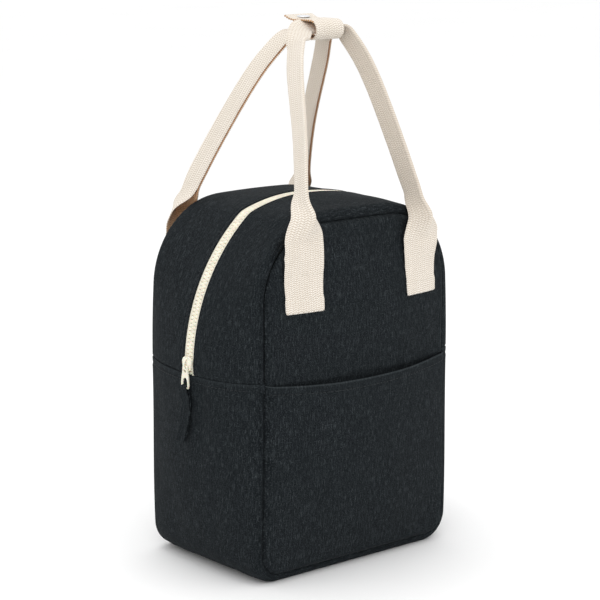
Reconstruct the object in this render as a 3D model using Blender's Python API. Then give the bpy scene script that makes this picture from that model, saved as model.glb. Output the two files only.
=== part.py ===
"""Soft insulated lunch bag with two webbing handles, a wrap with a press stud and an arched zip.

Metres, +Z up. The front of the bag faces -Y, and the origin is the centre of the flat underside.
Every layer of cloth, foam and lining is its own closed solid, with a small gap to its neighbours.
"""

import math

import bmesh
import bpy
import numpy as np
from mathutils import Matrix, Vector

# ---- driving dimensions (metres) ----
HALF_WIDTH = 0.1025          # seam to centre plane
HALF_DEPTH = 0.0715          # panel seam plane to centre plane
SEAM_TOP = 0.2962            # height of the panel seam
TOP_RADIUS = 0.068           # upper corners of the panels
BASE_RADIUS = 0.023          # lower corners of the panels
PANEL_BULGE = 0.0165         # how far a filled panel stands out at its middle
FOLD_Z = 0.1665              # pocket mouth: here the front flap folds and the side seam runs
POCKET_PROUD = 0.0017        # pocket in front of the panel's own outline
POCKET_SAG = 0.005           # dip of the pocket's hem at its middle
SLIT_DEPTH = 0.0055          # how far the lower panel lies back behind the pocket

# layers, measured inwards from the outer face
CLOTH = (0.0, 0.0012)
FOAM = (0.0020, 0.0050)
LINING = (0.0054, 0.0060)
LAYER_INSET = 0.0066         # foam and lining stop this far from a seam
CLOTH_INSET = 0.0015         # gusset cloth stops this far from the panel plane
FOLD_GAP = 0.0004            # half of the gap at the fold
BINDING = (0.0018, 0.0058)   # seam binding, in the inner corner

# zip: its line over the left side is one arc, so that the slider can travel on a hinge
ZIP_CENTRE = (0.0332, 0.17104)
ZIP_RADIUS = 0.1556
ZIP_ARC_END = math.radians(50.7)
ZIP_TOP_Z = 0.3018
CHAIN_Y = (0.00045, 0.0029)
CHAIN_OFFSET = (0.0004, 0.0032)
TAPE_Y = (0.0033, 0.0160)
TAPE_OFFSET = (0.0015, 0.0021)
STRIP_Y = 0.0056             # edge of the cloth beside the zip
ZIP_LAYER_Y = 0.0165         # foam and lining start beyond the tape
CHAIN_START_Z = 0.1697
STOP_Z = (0.1673, 0.1694)
SLIDER_ANGLE = math.radians(1.8)   # rest place of the slider's middle along the arc
SLIDER_HALF_LENGTH = 0.0061
ARCH_STATIONS = 41

# webbing handles
STRAP_WIDTH = 0.038
STRAP_THICK = 0.0015
FOLDED_WIDTH = 0.019
FOLDED_THICK = 0.0030
FOLD_START = 0.026           # length along a leg, above its foot, where the webbing begins to fold
FOLD_LENGTH = 0.042
HANDLE_X = 0.062
END_Z = (0.222, 0.2532)      # sewn part of each handle end
LEG_PIVOT_Z = 0.2546
LEG_START_Z = 0.2550
LEG_CLEAR = 0.0020           # a leg's foot stands this far off, to clear the panel's rounder middle
FRONT_APEX_Y = -0.0045
BACK_APEX_Y = 0.0095

# wrap round both handles
WRAP_X = (0.0015, 0.0305)
WRAP_Y = (-0.0190, 0.0210)
WRAP_Z = (0.4265, 0.4430)
WRAP_THICK = 0.0015
FLAP_HINGE_Y = 0.0045
FRONT_STRAP_Z = WRAP_Z[0] + 0.0118
BACK_STRAP_Z = WRAP_Z[0] + 0.0063
STUD_Y = 0.0160

# puller
BAIL_X = -0.1256             # axis of the tab's crossbar inside the bail
BAIL_Z = 0.1745
TAB_HALF_THICK = 0.0007
TAB_BOTTOM = 0.1560
TAB_BAR = 0.0020             # height of the tab's lower bar, which the tie goes round
TIE_BOTTOM = 0.1115

GAP = 0.0003

COLOURS = {
    "cloth": ((0.019, 0.021, 0.023), 0.9, 0.0),
    "webbing": ((0.72, 0.64, 0.53), 0.85, 0.0),
    "foam": ((0.75, 0.75, 0.73), 0.8, 0.0),
    "lining": ((0.45, 0.46, 0.47), 0.45, 0.0),
    "binding": ((0.05, 0.05, 0.055), 0.85, 0.0),
    "zip_plastic": ((0.80, 0.77, 0.66), 0.4, 0.0),
    "zip_tape": ((0.78, 0.74, 0.63), 0.85, 0.0),
    "snap_metal": ((0.75, 0.75, 0.76), 0.25, 1.0),
}


# ---- scene, materials and plain mesh helpers ----
def clear_scene():
    for old in list(bpy.data.objects):
        bpy.data.objects.remove(old, do_unlink=True)


def material(node, kind):
    colour, roughness, metallic = COLOURS[kind]
    made = bpy.data.materials.new(node + "_material")
    made.use_nodes = True
    shader = made.node_tree.nodes["Principled BSDF"]
    shader.inputs["Base Color"].default_value = (*colour, 1.0)
    shader.inputs["Roughness"].default_value = roughness
    shader.inputs["Metallic"].default_value = metallic
    return made


def add_object(name, points, faces, kind, pivot=None):
    """Makes one closed mesh object. pivot is the point its joint turns about, if it moves."""
    origin = Vector(pivot) if pivot else Vector((0, 0, 0))
    mesh = bpy.data.meshes.new(name)
    mesh.from_pydata([tuple(Vector(p) - origin) for p in points], [], faces)
    edit = bmesh.new()
    edit.from_mesh(mesh)
    bmesh.ops.recalc_face_normals(edit, faces=edit.faces)
    if edit.calc_volume(signed=True) < 0:
        bmesh.ops.reverse_faces(edit, faces=edit.faces)
    edit.to_mesh(mesh)
    edit.free()
    mesh.shade_smooth()
    mesh.set_sharp_from_angle(angle=math.radians(40))
    made = bpy.data.objects.new(name, mesh)
    made.location = origin
    made.data.materials.append(material(name, kind))
    bpy.context.scene.collection.objects.link(made)
    return made


def closed_slab(outer, inner, ring=False):
    """Points and faces of the solid between two grids of the same size; ring joins its two ends."""
    rows, cols = outer.shape[:2]
    points = [tuple(p) for p in outer.reshape(-1, 3)] + [tuple(p) for p in inner.reshape(-1, 3)]
    back = rows * cols

    def at(row, col, side):
        return side * back + (row % rows) * cols + col

    faces = []
    for row in range(rows if ring else rows - 1):
        for col in range(cols - 1):
            faces.append([at(row, col, 0), at(row + 1, col, 0), at(row + 1, col + 1, 0), at(row, col + 1, 0)])
            faces.append([at(row, col, 1), at(row, col + 1, 1), at(row + 1, col + 1, 1), at(row + 1, col, 1)])
        for col in (0, cols - 1):
            faces.append([at(row, col, 0), at(row, col, 1), at(row + 1, col, 1), at(row + 1, col, 0)])
    if not ring:
        for col in range(cols - 1):
            for row in (0, rows - 1):
                faces.append([at(row, col, 0), at(row, col + 1, 0), at(row, col + 1, 1), at(row, col, 1)])
    return points, faces


def swept_bar(sections):
    """Points and faces of a bar through a list of equal cross sections, with flat ends."""
    count = len(sections[0])
    points = [tuple(p) for section in sections for p in section]
    faces = []
    for k in range(len(sections) - 1):
        for j in range(count):
            a, b = k * count + j, k * count + (j + 1) % count
            faces.append([a, b, b + count, a + count])
    last = (len(sections) - 1) * count
    faces.append(list(range(count)))
    faces.append([last + j for j in range(count)])
    return points, faces


def prism(outline, low, high, axis):
    """Points and faces of an outline (pairs) extruded along axis 0, 1 or 2 from low to high."""
    def place(pair, depth):
        values = list(pair)
        values.insert(axis, depth)
        return values
    return swept_bar([[place(p, low) for p in outline], [place(p, high) for p in outline]])


def turned(profile, centre, segments=16):
    """Points and faces of a solid turned about +Z; profile is (radius, height) pairs, bottom to top."""
    points = []
    for radius, height in profile:
        for j in range(segments):
            angle = 2 * math.pi * j / segments
            points.append((centre[0] + radius * math.cos(angle),
                           centre[1] + radius * math.sin(angle), centre[2] + height))
    faces = []
    for k in range(len(profile) - 1):
        for j in range(segments):
            a, b = k * segments + j, k * segments + (j + 1) % segments
            faces.append([a, b, b + segments, a + segments])
    last = (len(profile) - 1) * segments
    faces.append(list(range(segments)))
    faces.append([last + j for j in range(segments)])
    return points, faces


def smoothstep(value):
    value = min(1.0, max(0.0, value))
    return value * value * (3 - 2 * value)


def resample(points, count):
    """Evenly spaced points along a polyline."""
    points = np.array(points, float)
    length = np.concatenate([[0], np.cumsum(np.linalg.norm(np.diff(points, axis=0), axis=1))])
    wanted = np.linspace(0, length[-1], count)
    return np.stack([np.interp(wanted, length, points[:, k]) for k in range(points.shape[1])], axis=1)


def bezier(p0, p1, p2, p3, count):
    corners = [np.array(p, float) for p in (p0, p1, p2, p3)]
    steps = np.linspace(0, 1, count)[:, None]
    return ((1 - steps) ** 3 * corners[0] + 3 * (1 - steps) ** 2 * steps * corners[1]
            + 3 * (1 - steps) * steps ** 2 * corners[2] + steps ** 3 * corners[3])


# ---- panels: front, back and pocket ----
def panel_bottom(x, inset):
    flat = HALF_WIDTH - BASE_RADIUS
    reach = abs(x) - flat
    if reach <= 0:
        return inset
    radius = BASE_RADIUS - inset
    return BASE_RADIUS - math.sqrt(max(0.0, radius * radius - reach * reach))


def panel_top(x, inset):
    flat = HALF_WIDTH - TOP_RADIUS
    reach = abs(x) - flat
    if reach <= 0:
        return SEAM_TOP - inset
    radius = TOP_RADIUS - inset
    return SEAM_TOP - TOP_RADIUS + math.sqrt(max(0.0, radius * radius - reach * reach))


def pillow(x, z):
    """How far a filled panel stands out from its seam plane."""
    height = min(1.0, max(0.0, z / SEAM_TOP))
    across = min(1.0, abs(x) / HALF_WIDTH)
    return PANEL_BULGE * 4 * height * (1 - height) * (1 - across ** 2)


def back_out(x, z):
    return pillow(x, z)


def front_out(x, z):
    """Front panel: it lies back behind the pocket and just above the pocket's mouth."""
    across = 1 - min(1.0, abs(x) / HALF_WIDTH) ** 2
    reach = 1 - smoothstep((z - FOLD_Z) / 0.060) if z > FOLD_Z else smoothstep(z / 0.090)
    return pillow(x, z) - SLIT_DEPTH * across * reach


def pocket_out(x, z):
    return pillow(x, z) + POCKET_PROUD


def column_positions(inset, count):
    half = HALF_WIDTH - inset
    return [half * math.sin(0.5 * math.pi * u) for u in np.linspace(-1, 1, count)]


def panel_grid(side, out, layer, inset, low, high, cols, rows):
    """Two grids of a panel layer; side is -1 at the front, +1 at the back; low and high give z at x."""
    outer = np.zeros((cols, rows, 3))
    inner = np.zeros((cols, rows, 3))
    for i, x in enumerate(column_positions(inset, cols)):
        for j, z in enumerate(np.linspace(low(x), high(x), rows)):
            face = HALF_DEPTH + out(x, z)
            outer[i, j] = (x, side * (face - layer[0]), z)
            inner[i, j] = (x, side * (face - layer[1]), z)
    return outer, inner


def add_panel(name, kind, side, out, layer, inset, low, high, cols, rows):
    grids = panel_grid(side, out, layer, inset, low, high, cols, rows)
    points, faces = closed_slab(*grids)
    return add_object(name, points, faces, kind)


def build_panels():
    layers = (("", "cloth", CLOTH, 0.0), ("_foam", "foam", FOAM, LAYER_INSET),
              ("_lining", "lining", LINING, LAYER_INSET))
    for suffix, kind, layer, inset in layers:
        def low(x, inset=inset):
            return panel_bottom(x, inset)

        def high(x, inset=inset):
            return panel_top(x, inset)
        fine = 13 if suffix == "" else 10
        add_panel("back_panel" + suffix, kind, 1, back_out, layer, inset, low, high, fine, fine)
        add_panel("front_panel_lower" + suffix, kind, -1, front_out, layer, inset,
                  low, lambda x: FOLD_Z - FOLD_GAP, fine, 7)
        add_panel("front_panel_upper" + suffix, kind, -1, front_out, layer, inset,
                  lambda x: FOLD_Z + FOLD_GAP, high, fine, 7)


def build_pocket():
    def hem(x):
        return FOLD_Z - 0.001 - POCKET_SAG * (1 - (abs(x) / HALF_WIDTH) ** 2)
    add_panel("front_pocket", "cloth", -1, pocket_out, CLOTH, 0.0005,
              lambda x: panel_bottom(x, 0.0005), hem, 13, 9)


# ---- gussets: the band round the bag between the two panels ----
def side_bulge(z):
    """Bulge of the side at the middle of its depth, below the fold."""
    return 0.0199 * math.sin(0.5 * math.pi * (z / FOLD_Z) ** 0.75)


def lower_stations():
    """Seam line and middle line of the base gusset, left fold to right fold, as (x, z) pairs."""
    seam = [(-HALF_WIDTH, z) for z in np.linspace(FOLD_Z - FOLD_GAP, BASE_RADIUS, 8)]
    corner = HALF_WIDTH - BASE_RADIUS
    for angle in np.linspace(0, 0.5 * math.pi, 6)[1:]:
        seam.append((-corner - BASE_RADIUS * math.cos(angle), BASE_RADIUS * (1 - math.sin(angle))))
    seam += [(-x, 0.0) for x in (0.055, 0.028)]
    seam.append((0.0, 0.0))
    seam = seam + [(-x, z) for x, z in seam[-2::-1]]
    middle = [(x + math.copysign(side_bulge(z), x) if z > 0 else x, z) for x, z in seam]
    return np.array(seam), np.array(middle)


def zip_line():
    """Middle line of the arch: an arc up the left side, a soft curve over the top, then mirrored."""
    start = math.asin((FOLD_Z + FOLD_GAP - ZIP_CENTRE[1]) / ZIP_RADIUS)
    arc = [(ZIP_CENTRE[0] - ZIP_RADIUS * math.cos(a), ZIP_CENTRE[1] + ZIP_RADIUS * math.sin(a))
           for a in np.linspace(start, ZIP_ARC_END, 60)]
    end = arc[-1]
    lead = 0.006
    along = (math.sin(ZIP_ARC_END), math.cos(ZIP_ARC_END))
    over = bezier(end, (end[0] + lead * along[0], end[1] + lead * along[1]),
                  (-0.035, ZIP_TOP_Z), (0.0, ZIP_TOP_Z), 30)
    left = arc + [tuple(p) for p in over[1:]]
    return left + [(-x, z) for x, z in left[-2::-1]]


def arch_seam_line():
    """Seam line of the arch, left fold to right fold."""
    left = [(-HALF_WIDTH, z) for z in np.linspace(FOLD_Z + FOLD_GAP, SEAM_TOP - TOP_RADIUS, 20)]
    centre_x = HALF_WIDTH - TOP_RADIUS
    for angle in np.linspace(0, 0.5 * math.pi, 40)[1:]:
        left.append((-centre_x - TOP_RADIUS * math.cos(angle),
                     SEAM_TOP - TOP_RADIUS + TOP_RADIUS * math.sin(angle)))
    left.append((0.0, SEAM_TOP))
    return left + [(-x, z) for x, z in left[-2::-1]]


def arch_stations(count):
    return resample(arch_seam_line(), count), resample(zip_line(), count)


def gusset_surface(seam, middle, depths):
    """Grid of points on the gusset's outer face: one row for each station, one column for each y."""
    grid = np.zeros((len(seam), len(depths), 3))
    for j, y in enumerate(depths):
        swell = 1 - (min(1.0, abs(y) / HALF_DEPTH)) ** 2.2
        line = seam + (middle - seam) * swell
        grid[:, j, 0] = line[:, 0]
        grid[:, j, 1] = y
        grid[:, j, 2] = line[:, 1]
    return grid


def inward_normals(grid):
    along = np.gradient(grid, axis=0)
    across = np.gradient(grid, axis=1)
    normal = np.cross(along, across)
    normal /= np.linalg.norm(normal, axis=2, keepdims=True)
    inside = np.array([0.0, 0.0, 0.15]) - grid
    inside[:, :, 1] = 0.0
    flip = np.sum(normal * inside, axis=2) < 0
    normal[flip] *= -1
    return normal


def gusset_slab(seam, middle, depths, layer):
    grid = gusset_surface(seam, middle, depths)
    normal = inward_normals(grid)
    for end in (0, -1):
        normal[end, :, 2] = 0.0
    normal /= np.linalg.norm(normal, axis=2, keepdims=True)
    return closed_slab(grid + normal * layer[0], grid + normal * layer[1])


def build_base_gusset():
    seam, middle = lower_stations()
    edge = HALF_DEPTH - CLOTH_INSET
    inner_edge = HALF_DEPTH - LAYER_INSET
    wide = [edge * f for f in (-1, -0.8, -0.5, 0, 0.5, 0.8, 1)]
    narrow = [inner_edge * f for f in (-1, -0.75, 0, 0.75, 1)]
    for suffix, kind, layer, depths in (("", "cloth", CLOTH, wide), ("_foam", "foam", FOAM, narrow),
                                        ("_lining", "lining", LINING, narrow)):
        points, faces = gusset_slab(seam, middle, depths, layer)
        add_object("base_gusset" + suffix, points, faces, kind)


def build_zip_gusset(side, side_name):
    edge = HALF_DEPTH - CLOTH_INSET
    inner_edge = HALF_DEPTH - LAYER_INSET
    cloth_y = [side * STRIP_Y] + [side * y for y in np.linspace(TAPE_Y[1], edge, 4)]
    layer_y = [side * y for y in np.linspace(ZIP_LAYER_Y, inner_edge, 3)]
    for suffix, kind, layer, depths, count in (("", "cloth", CLOTH, cloth_y, ARCH_STATIONS),
                                               ("_foam", "foam", FOAM, layer_y, 29),
                                               ("_lining", "lining", LINING, layer_y, 29)):
        seam, middle = arch_stations(count)
        points, faces = gusset_slab(seam, middle, depths, layer)
        add_object("zip_gusset_" + side_name + suffix, points, faces, kind)


def build_zip_half(side, side_name):
    seam, middle = arch_stations(ARCH_STATIONS)
    points, faces = gusset_slab(seam, middle, [side * y for y in (TAPE_Y[0], STRIP_Y, TAPE_Y[1])], TAPE_OFFSET)
    add_object("zip_tape_" + side_name, points, faces, "zip_tape")
    line = np.array([p for p in zip_line() if p[1] >= CHAIN_START_Z])
    line = resample(line, 49)
    points, faces = gusset_slab(line, line, [side * y for y in CHAIN_Y], CHAIN_OFFSET)
    add_object("zip_teeth_" + side_name, points, faces, "zip_plastic")


def build_zip_stops():
    """A moulded stop across both halves of the chain at each end of the zip."""
    reach = ZIP_RADIUS - ZIP_CENTRE[0]
    for name, sign in (("left", -1), ("right", 1)):
        outline = [(sign * (reach - CHAIN_OFFSET[0]), STOP_Z[0]), (sign * (reach - CHAIN_OFFSET[0]), STOP_Z[1]),
                   (sign * (reach - CHAIN_OFFSET[1]), STOP_Z[1]), (sign * (reach - CHAIN_OFFSET[1]), STOP_Z[0])]
        points, faces = prism(outline, -CHAIN_Y[1], CHAIN_Y[1], 1)
        add_object("zip_stop_" + name, points, faces, "zip_plastic")


# ---- seam bindings inside the bag ----
def binding_line(inset):
    """Closed outline of the panel seam, moved inwards, as (x, z) pairs from the left fold clockwise."""
    centre_x = HALF_WIDTH - TOP_RADIUS
    line = [(-HALF_WIDTH + inset, FOLD_Z), (-HALF_WIDTH + inset, SEAM_TOP - TOP_RADIUS)]
    for angle in np.linspace(0, 0.5 * math.pi, 7)[1:]:
        line.append((-centre_x - (TOP_RADIUS - inset) * math.cos(angle),
                     SEAM_TOP - TOP_RADIUS + (TOP_RADIUS - inset) * math.sin(angle)))
    upper = line + [(-x, z) for x, z in line[::-1]]
    corner = HALF_WIDTH - BASE_RADIUS
    low = [(HALF_WIDTH - inset, FOLD_Z), (HALF_WIDTH - inset, BASE_RADIUS)]
    for angle in np.linspace(0, 0.5 * math.pi, 5)[1:]:
        low.append((corner + (BASE_RADIUS - inset) * math.cos(angle),
                    BASE_RADIUS - (BASE_RADIUS - inset) * math.sin(angle)))
    lower = low + [(-x, z) for x, z in low[::-1]]
    return upper, lower


def binding_solid(name, outer, inner, side, closed):
    y_near = side * (HALF_DEPTH - BINDING[0])
    y_far = side * (HALF_DEPTH - BINDING[1])
    grid_a = np.array([[(x, y_near, z), (x, y_far, z)] for x, z in outer])
    grid_b = np.array([[(x, y_near, z), (x, y_far, z)] for x, z in inner])
    points, faces = closed_slab(grid_a, grid_b, ring=closed)
    add_object(name, points, faces, "binding")


def shift_ends(line, height):
    """The same line with its two ends moved to a height."""
    return [(line[0][0], height)] + line[1:-1] + [(line[-1][0], height)]


def build_bindings():
    upper_out, lower_out = binding_line(BINDING[0])
    upper_in, lower_in = binding_line(BINDING[1])
    binding_solid("seam_binding_back", upper_out[:-1] + lower_out[:-1], upper_in[:-1] + lower_in[:-1], 1, True)
    above, below = FOLD_Z + FOLD_GAP, FOLD_Z - FOLD_GAP
    binding_solid("seam_binding_front_upper", shift_ends(upper_out, above), shift_ends(upper_in, above), -1, False)
    binding_solid("seam_binding_front_lower", shift_ends(lower_out, below), shift_ends(lower_in, below), -1, False)


# ---- handles ----
def build_handle_ends():
    """The sewn end of each handle leg, lying on its panel."""
    for side, side_name, out in ((-1, "front", front_out), (1, "back", back_out)):
        for sign, end_name in ((-1, "left"), (1, "right")):
            centre = sign * HANDLE_X
            outer = np.zeros((5, 4, 3))
            inner = np.zeros((5, 4, 3))
            for i, x in enumerate(np.linspace(centre - STRAP_WIDTH / 2, centre + STRAP_WIDTH / 2, 5)):
                for j, z in enumerate(np.linspace(END_Z[0], END_Z[1], 4)):
                    face = HALF_DEPTH + out(x, z) + GAP
                    outer[i, j] = (x, side * (face + STRAP_THICK), z)
                    inner[i, j] = (x, side * face, z)
            points, faces = closed_slab(outer, inner)
            add_object(side_name + "_handle_end_" + end_name, points, faces, "webbing")


def handle_foot_y(side):
    """Middle of the webbing's thickness where a leg leaves its panel."""
    out = front_out if side < 0 else back_out
    return side * (HALF_DEPTH + out(HANDLE_X, LEG_START_Z) + 2 * GAP + STRAP_THICK / 2 + LEG_CLEAR)


def handle_path(side):
    """Centre line of a handle loop, left foot to right foot."""
    foot_y = handle_foot_y(side)
    foot_left, foot_right = (-HANDLE_X, foot_y, LEG_START_Z), (HANDLE_X, foot_y, LEG_START_Z)
    if side < 0:
        top_y, top_z = FRONT_APEX_Y, FRONT_STRAP_Z
        left = bezier(foot_left, (-0.079, foot_y - 0.002, 0.380), (-0.012, top_y, top_z),
                      (-0.001, top_y, top_z), 26)
        right = bezier((0.033, top_y, top_z), (0.043, top_y, top_z), (0.054, foot_y - 0.002, 0.355),
                       foot_right, 26)
    else:
        top_y, top_z = BACK_APEX_Y, BACK_STRAP_Z
        left = bezier(foot_left, (-0.074, foot_y + 0.001, 0.318), (-0.014, top_y, top_z),
                      (-0.001, top_y, top_z), 26)
        right = bezier((0.033, top_y, top_z), (0.036, top_y, top_z), (0.076, foot_y + 0.001, 0.325),
                       foot_right, 26)
    return resample(np.vstack([left, right]), 61)


def strap_sections(path, side):
    """Cross sections of folded webbing: wide and flat at the feet, half as wide and turned at the top."""
    tangent = np.gradient(path, axis=0)
    tangent /= np.linalg.norm(tangent, axis=1, keepdims=True)
    length = np.concatenate([[0], np.cumsum(np.linalg.norm(np.diff(path, axis=0), axis=1))])
    total = length[-1]
    sections = []
    for k, centre in enumerate(path):
        foot = min(length[k], total - length[k])
        fold = smoothstep((foot - FOLD_START) / FOLD_LENGTH)
        at_foot = np.array([-side if k < len(path) / 2 else side, 0.0, 0.0])
        across = (1 - fold) * at_foot + fold * np.array([0.0, -1.0, 0.0])
        across -= tangent[k] * np.dot(across, tangent[k])
        across /= np.linalg.norm(across)
        normal = np.cross(across, tangent[k])
        half_w = 0.5 * (STRAP_WIDTH + (FOLDED_WIDTH - STRAP_WIDTH) * fold)
        half_t = 0.5 * (STRAP_THICK + (FOLDED_THICK - STRAP_THICK) * fold)
        sections.append([centre + a * half_w * across + b * half_t * normal
                         for a, b in ((-1, -1), (1, -1), (1, 1), (-1, 1))])
    return sections


def build_handle(side, name):
    pivot = (0.0, handle_foot_y(side), LEG_PIVOT_Z)
    points, faces = swept_bar(strap_sections(handle_path(side), side))
    add_object(name, points, faces, "webbing", pivot)


# ---- wrap and press stud ----
def build_wrap():
    """Webbing bent round the front of both handles, open at the back, sewn to the front handle."""
    pivot = (0.0, handle_foot_y(-1), LEG_PIVOT_Z)
    radius = 0.5 * (WRAP_Z[1] - WRAP_Z[0])
    middle_z = 0.5 * (WRAP_Z[0] + WRAP_Z[1])
    bend_y = WRAP_Y[0] + radius
    outer, inner = [(WRAP_Y[1], WRAP_Z[0])], [(WRAP_Y[1], WRAP_Z[0] + WRAP_THICK)]
    for angle in np.linspace(-0.5 * math.pi, 0.5 * math.pi, 9):
        outer.append((bend_y - radius * math.cos(angle), middle_z + radius * math.sin(angle)))
        inner.append((bend_y - (radius - WRAP_THICK) * math.cos(angle),
                      middle_z + (radius - WRAP_THICK) * math.sin(angle)))
    outer.append((FLAP_HINGE_Y, WRAP_Z[1]))
    inner.append((FLAP_HINGE_Y, WRAP_Z[1] - WRAP_THICK))
    grid_a = np.array([[(x, y, z) for x in WRAP_X] for y, z in outer])
    grid_b = np.array([[(x, y, z) for x in WRAP_X] for y, z in inner])
    points, faces = closed_slab(grid_a, grid_b)
    add_object("handle_wrap", points, faces, "webbing", pivot)

    hinge = (0.5 * (WRAP_X[0] + WRAP_X[1]), FLAP_HINGE_Y + GAP / 2, WRAP_Z[1])
    start = FLAP_HINGE_Y + GAP
    flap = [(start, WRAP_Z[1] - WRAP_THICK), (WRAP_Y[1] + 0.001, WRAP_Z[1] - WRAP_THICK),
            (WRAP_Y[1] + 0.001, WRAP_Z[1]), (start, WRAP_Z[1])]
    points, faces = prism(flap, WRAP_X[0], WRAP_X[1], 0)
    add_object("wrap_flap", points, faces, "webbing", hinge)


def build_press_stud():
    centre_x = 0.5 * (WRAP_X[0] + WRAP_X[1])
    hinge = (centre_x, FLAP_HINGE_Y + GAP / 2, WRAP_Z[1])
    pivot = (0.0, handle_foot_y(-1), LEG_PIVOT_Z)
    cap = turned([(0.0056, 0.0), (0.0058, 0.0004), (0.0052, 0.0011), (0.0030, 0.0015), (0.0008, 0.0016)],
                 (centre_x, STUD_Y, WRAP_Z[1] + GAP), 20)
    add_object("snap_cap", *cap, "snap_metal", hinge)
    under = WRAP_Z[1] - WRAP_THICK - GAP
    segments = 20
    grid_out = np.zeros((segments, 2, 3))
    grid_in = np.zeros((segments, 2, 3))
    for j in range(segments):
        angle = 2 * math.pi * j / segments
        for k, height in enumerate((under, under - 0.0016)):
            grid_out[j, k] = (centre_x + 0.0048 * math.cos(angle),
                              STUD_Y + 0.0048 * math.sin(angle), height)
            grid_in[j, k] = (centre_x + 0.0022 * math.cos(angle),
                             STUD_Y + 0.0022 * math.sin(angle), height)
    add_object("snap_socket", *closed_slab(grid_out, grid_in, ring=True), "snap_metal", hinge)
    stud = turned([(0.0046, 0.0), (0.0046, 0.0004), (0.0018, 0.0005), (0.0020, 0.0014), (0.0014, 0.0018)],
                  (centre_x, STUD_Y, WRAP_Z[0] + WRAP_THICK + GAP), 20)
    add_object("snap_stud", *stud, "snap_metal", pivot)


# ---- slider, bail, tab and tie ----
def along_zip(outline, y_low, y_high, axis):
    """An outline drawn beside the arc's middle height, extruded and turned up the arc to its rest place."""
    points, faces = prism(outline, y_low, y_high, axis)
    turn = Matrix.Rotation(SLIDER_ANGLE, 3, "Y")
    centre = Vector((ZIP_CENTRE[0], 0.0, ZIP_CENTRE[1]))
    return [tuple(turn @ (Vector(p) - centre) + centre) for p in points], faces


def build_slider():
    """Two plates joined by a thin rib, with low flanges that leave room for the tapes."""
    pivot = (ZIP_CENTRE[0], 0.0, ZIP_CENTRE[1])
    face = ZIP_CENTRE[0] - ZIP_RADIUS
    low, high = ZIP_CENTRE[1] - SLIDER_HALF_LENGTH, ZIP_CENTRE[1] + SLIDER_HALF_LENGTH
    top_out, top_in = face - 0.0018, face - 0.0005
    low_in, low_out = face + 0.0037, face + 0.0047
    wide, wall, rib = 0.0052, 0.0043, 0.00022
    half = [(top_out, wide - 0.001), (top_in - 0.0004, wide), (face + 0.0010, wide), (face + 0.0010, wall),
            (top_in, wall), (top_in, rib), (low_in, rib), (low_in, wall), (face + 0.0026, wall),
            (face + 0.0026, wide), (low_out, wide)]
    outline = half + [(x, -y) for x, y in half[::-1]]
    add_object("slider_body", *along_zip(outline, low, high, 2), "zip_plastic", pivot)

    foot = top_out - GAP
    low, high, thick = low + 0.0012, high - 0.0012, 0.0012
    outer_x, inner_x = foot - 0.0038, foot - 0.0026
    arch = [(foot, high), (outer_x + 0.0008, high - 0.0014), (outer_x, high - 0.0032),
            (outer_x, low + 0.0022), (outer_x + 0.0008, low + 0.0004), (foot, low)]
    hollow = [(foot, low + thick), (inner_x + 0.0006, low + thick + 0.0004), (inner_x, low + 0.0026),
              (inner_x, high - 0.0036), (inner_x + 0.0006, high - thick - 0.0012), (foot, high - thick)]
    add_object("slider_bail", *along_zip(arch + hollow, -0.0011, 0.0011, 1), "zip_plastic", pivot)


def build_pull_tab():
    """Moulded tab: its crossbar sits in the bail, and a hole at the bottom takes the tie."""
    pivot = (BAIL_X, 0.0, BAIL_Z)
    bar = 0.0008
    outline = [(0.0028, BAIL_Z + bar), (0.0034, BAIL_Z), (0.0034, 0.1685), (0.0042, 0.1640),
               (0.0042, TAB_BOTTOM + 0.0016), (0.0034, TAB_BOTTOM)]
    outline = outline + [(-y, z) for y, z in outline[::-1]]
    points, faces = prism(outline, BAIL_X - TAB_HALF_THICK, BAIL_X + TAB_HALF_THICK, 0)
    tab = add_object("pull_tab", points, faces, "zip_plastic", pivot)
    slots = ((0.0019, BAIL_Z - 0.0052, BAIL_Z - bar), (0.0028, TAB_BOTTOM + TAB_BAR, 0.1625))
    for k, (half_y, low, high) in enumerate(slots):
        box = [(half_y, low), (half_y, high), (-half_y, high), (-half_y, low)]
        points, faces = prism(box, BAIL_X - 0.005, BAIL_X + 0.005, 0)
        cutter = add_object("tab_cutter_%d" % (k + 1), points, faces, "zip_plastic")
        cutter.hide_render = True
        cutter.display_type = "WIRE"
        cut = tab.modifiers.new("slot_%d" % (k + 1), "BOOLEAN")
        cut.object = cutter
        cut.operation = "DIFFERENCE"
        cut.solver = "EXACT"


def build_pull_tie():
    """Strip of cloth folded through the tab's hole, both layers hanging down."""
    bar_z = TAB_BOTTOM + TAB_BAR / 2
    layer, between = 0.0008, 0.0004
    reach = 0.5 * (layer + between)
    loop = 0.0016 + layer / 2
    left = [(-reach, TIE_BOTTOM), (-reach, 0.1310), (-reach, bar_z - 0.0065)]
    over = [(-loop * math.cos(a), bar_z + loop * math.sin(a))
            for a in np.linspace(math.radians(-30), math.radians(210), 13)]
    line = np.array([(BAIL_X + x, 0.0, z) for x, z in left + over + [(-x, z) for x, z in left[::-1]]])
    tangent = np.gradient(line, axis=0)
    tangent /= np.linalg.norm(tangent, axis=1, keepdims=True)
    sections = []
    for point, along in zip(line, tangent):
        out = np.cross(along, (0, 1, 0))
        half_w = 0.0019 + 0.0033 * smoothstep((bar_z - 0.0030 - point[2]) / 0.010)
        sections.append([point + a * half_w * np.array([0, 1, 0]) + b * layer / 2 * out
                         for a, b in ((-1, -1), (1, -1), (1, 1), (-1, 1))])
    points, faces = swept_bar(sections)
    add_object("pull_tie", points, faces, "cloth", (BAIL_X, 0.0, bar_z))


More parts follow.
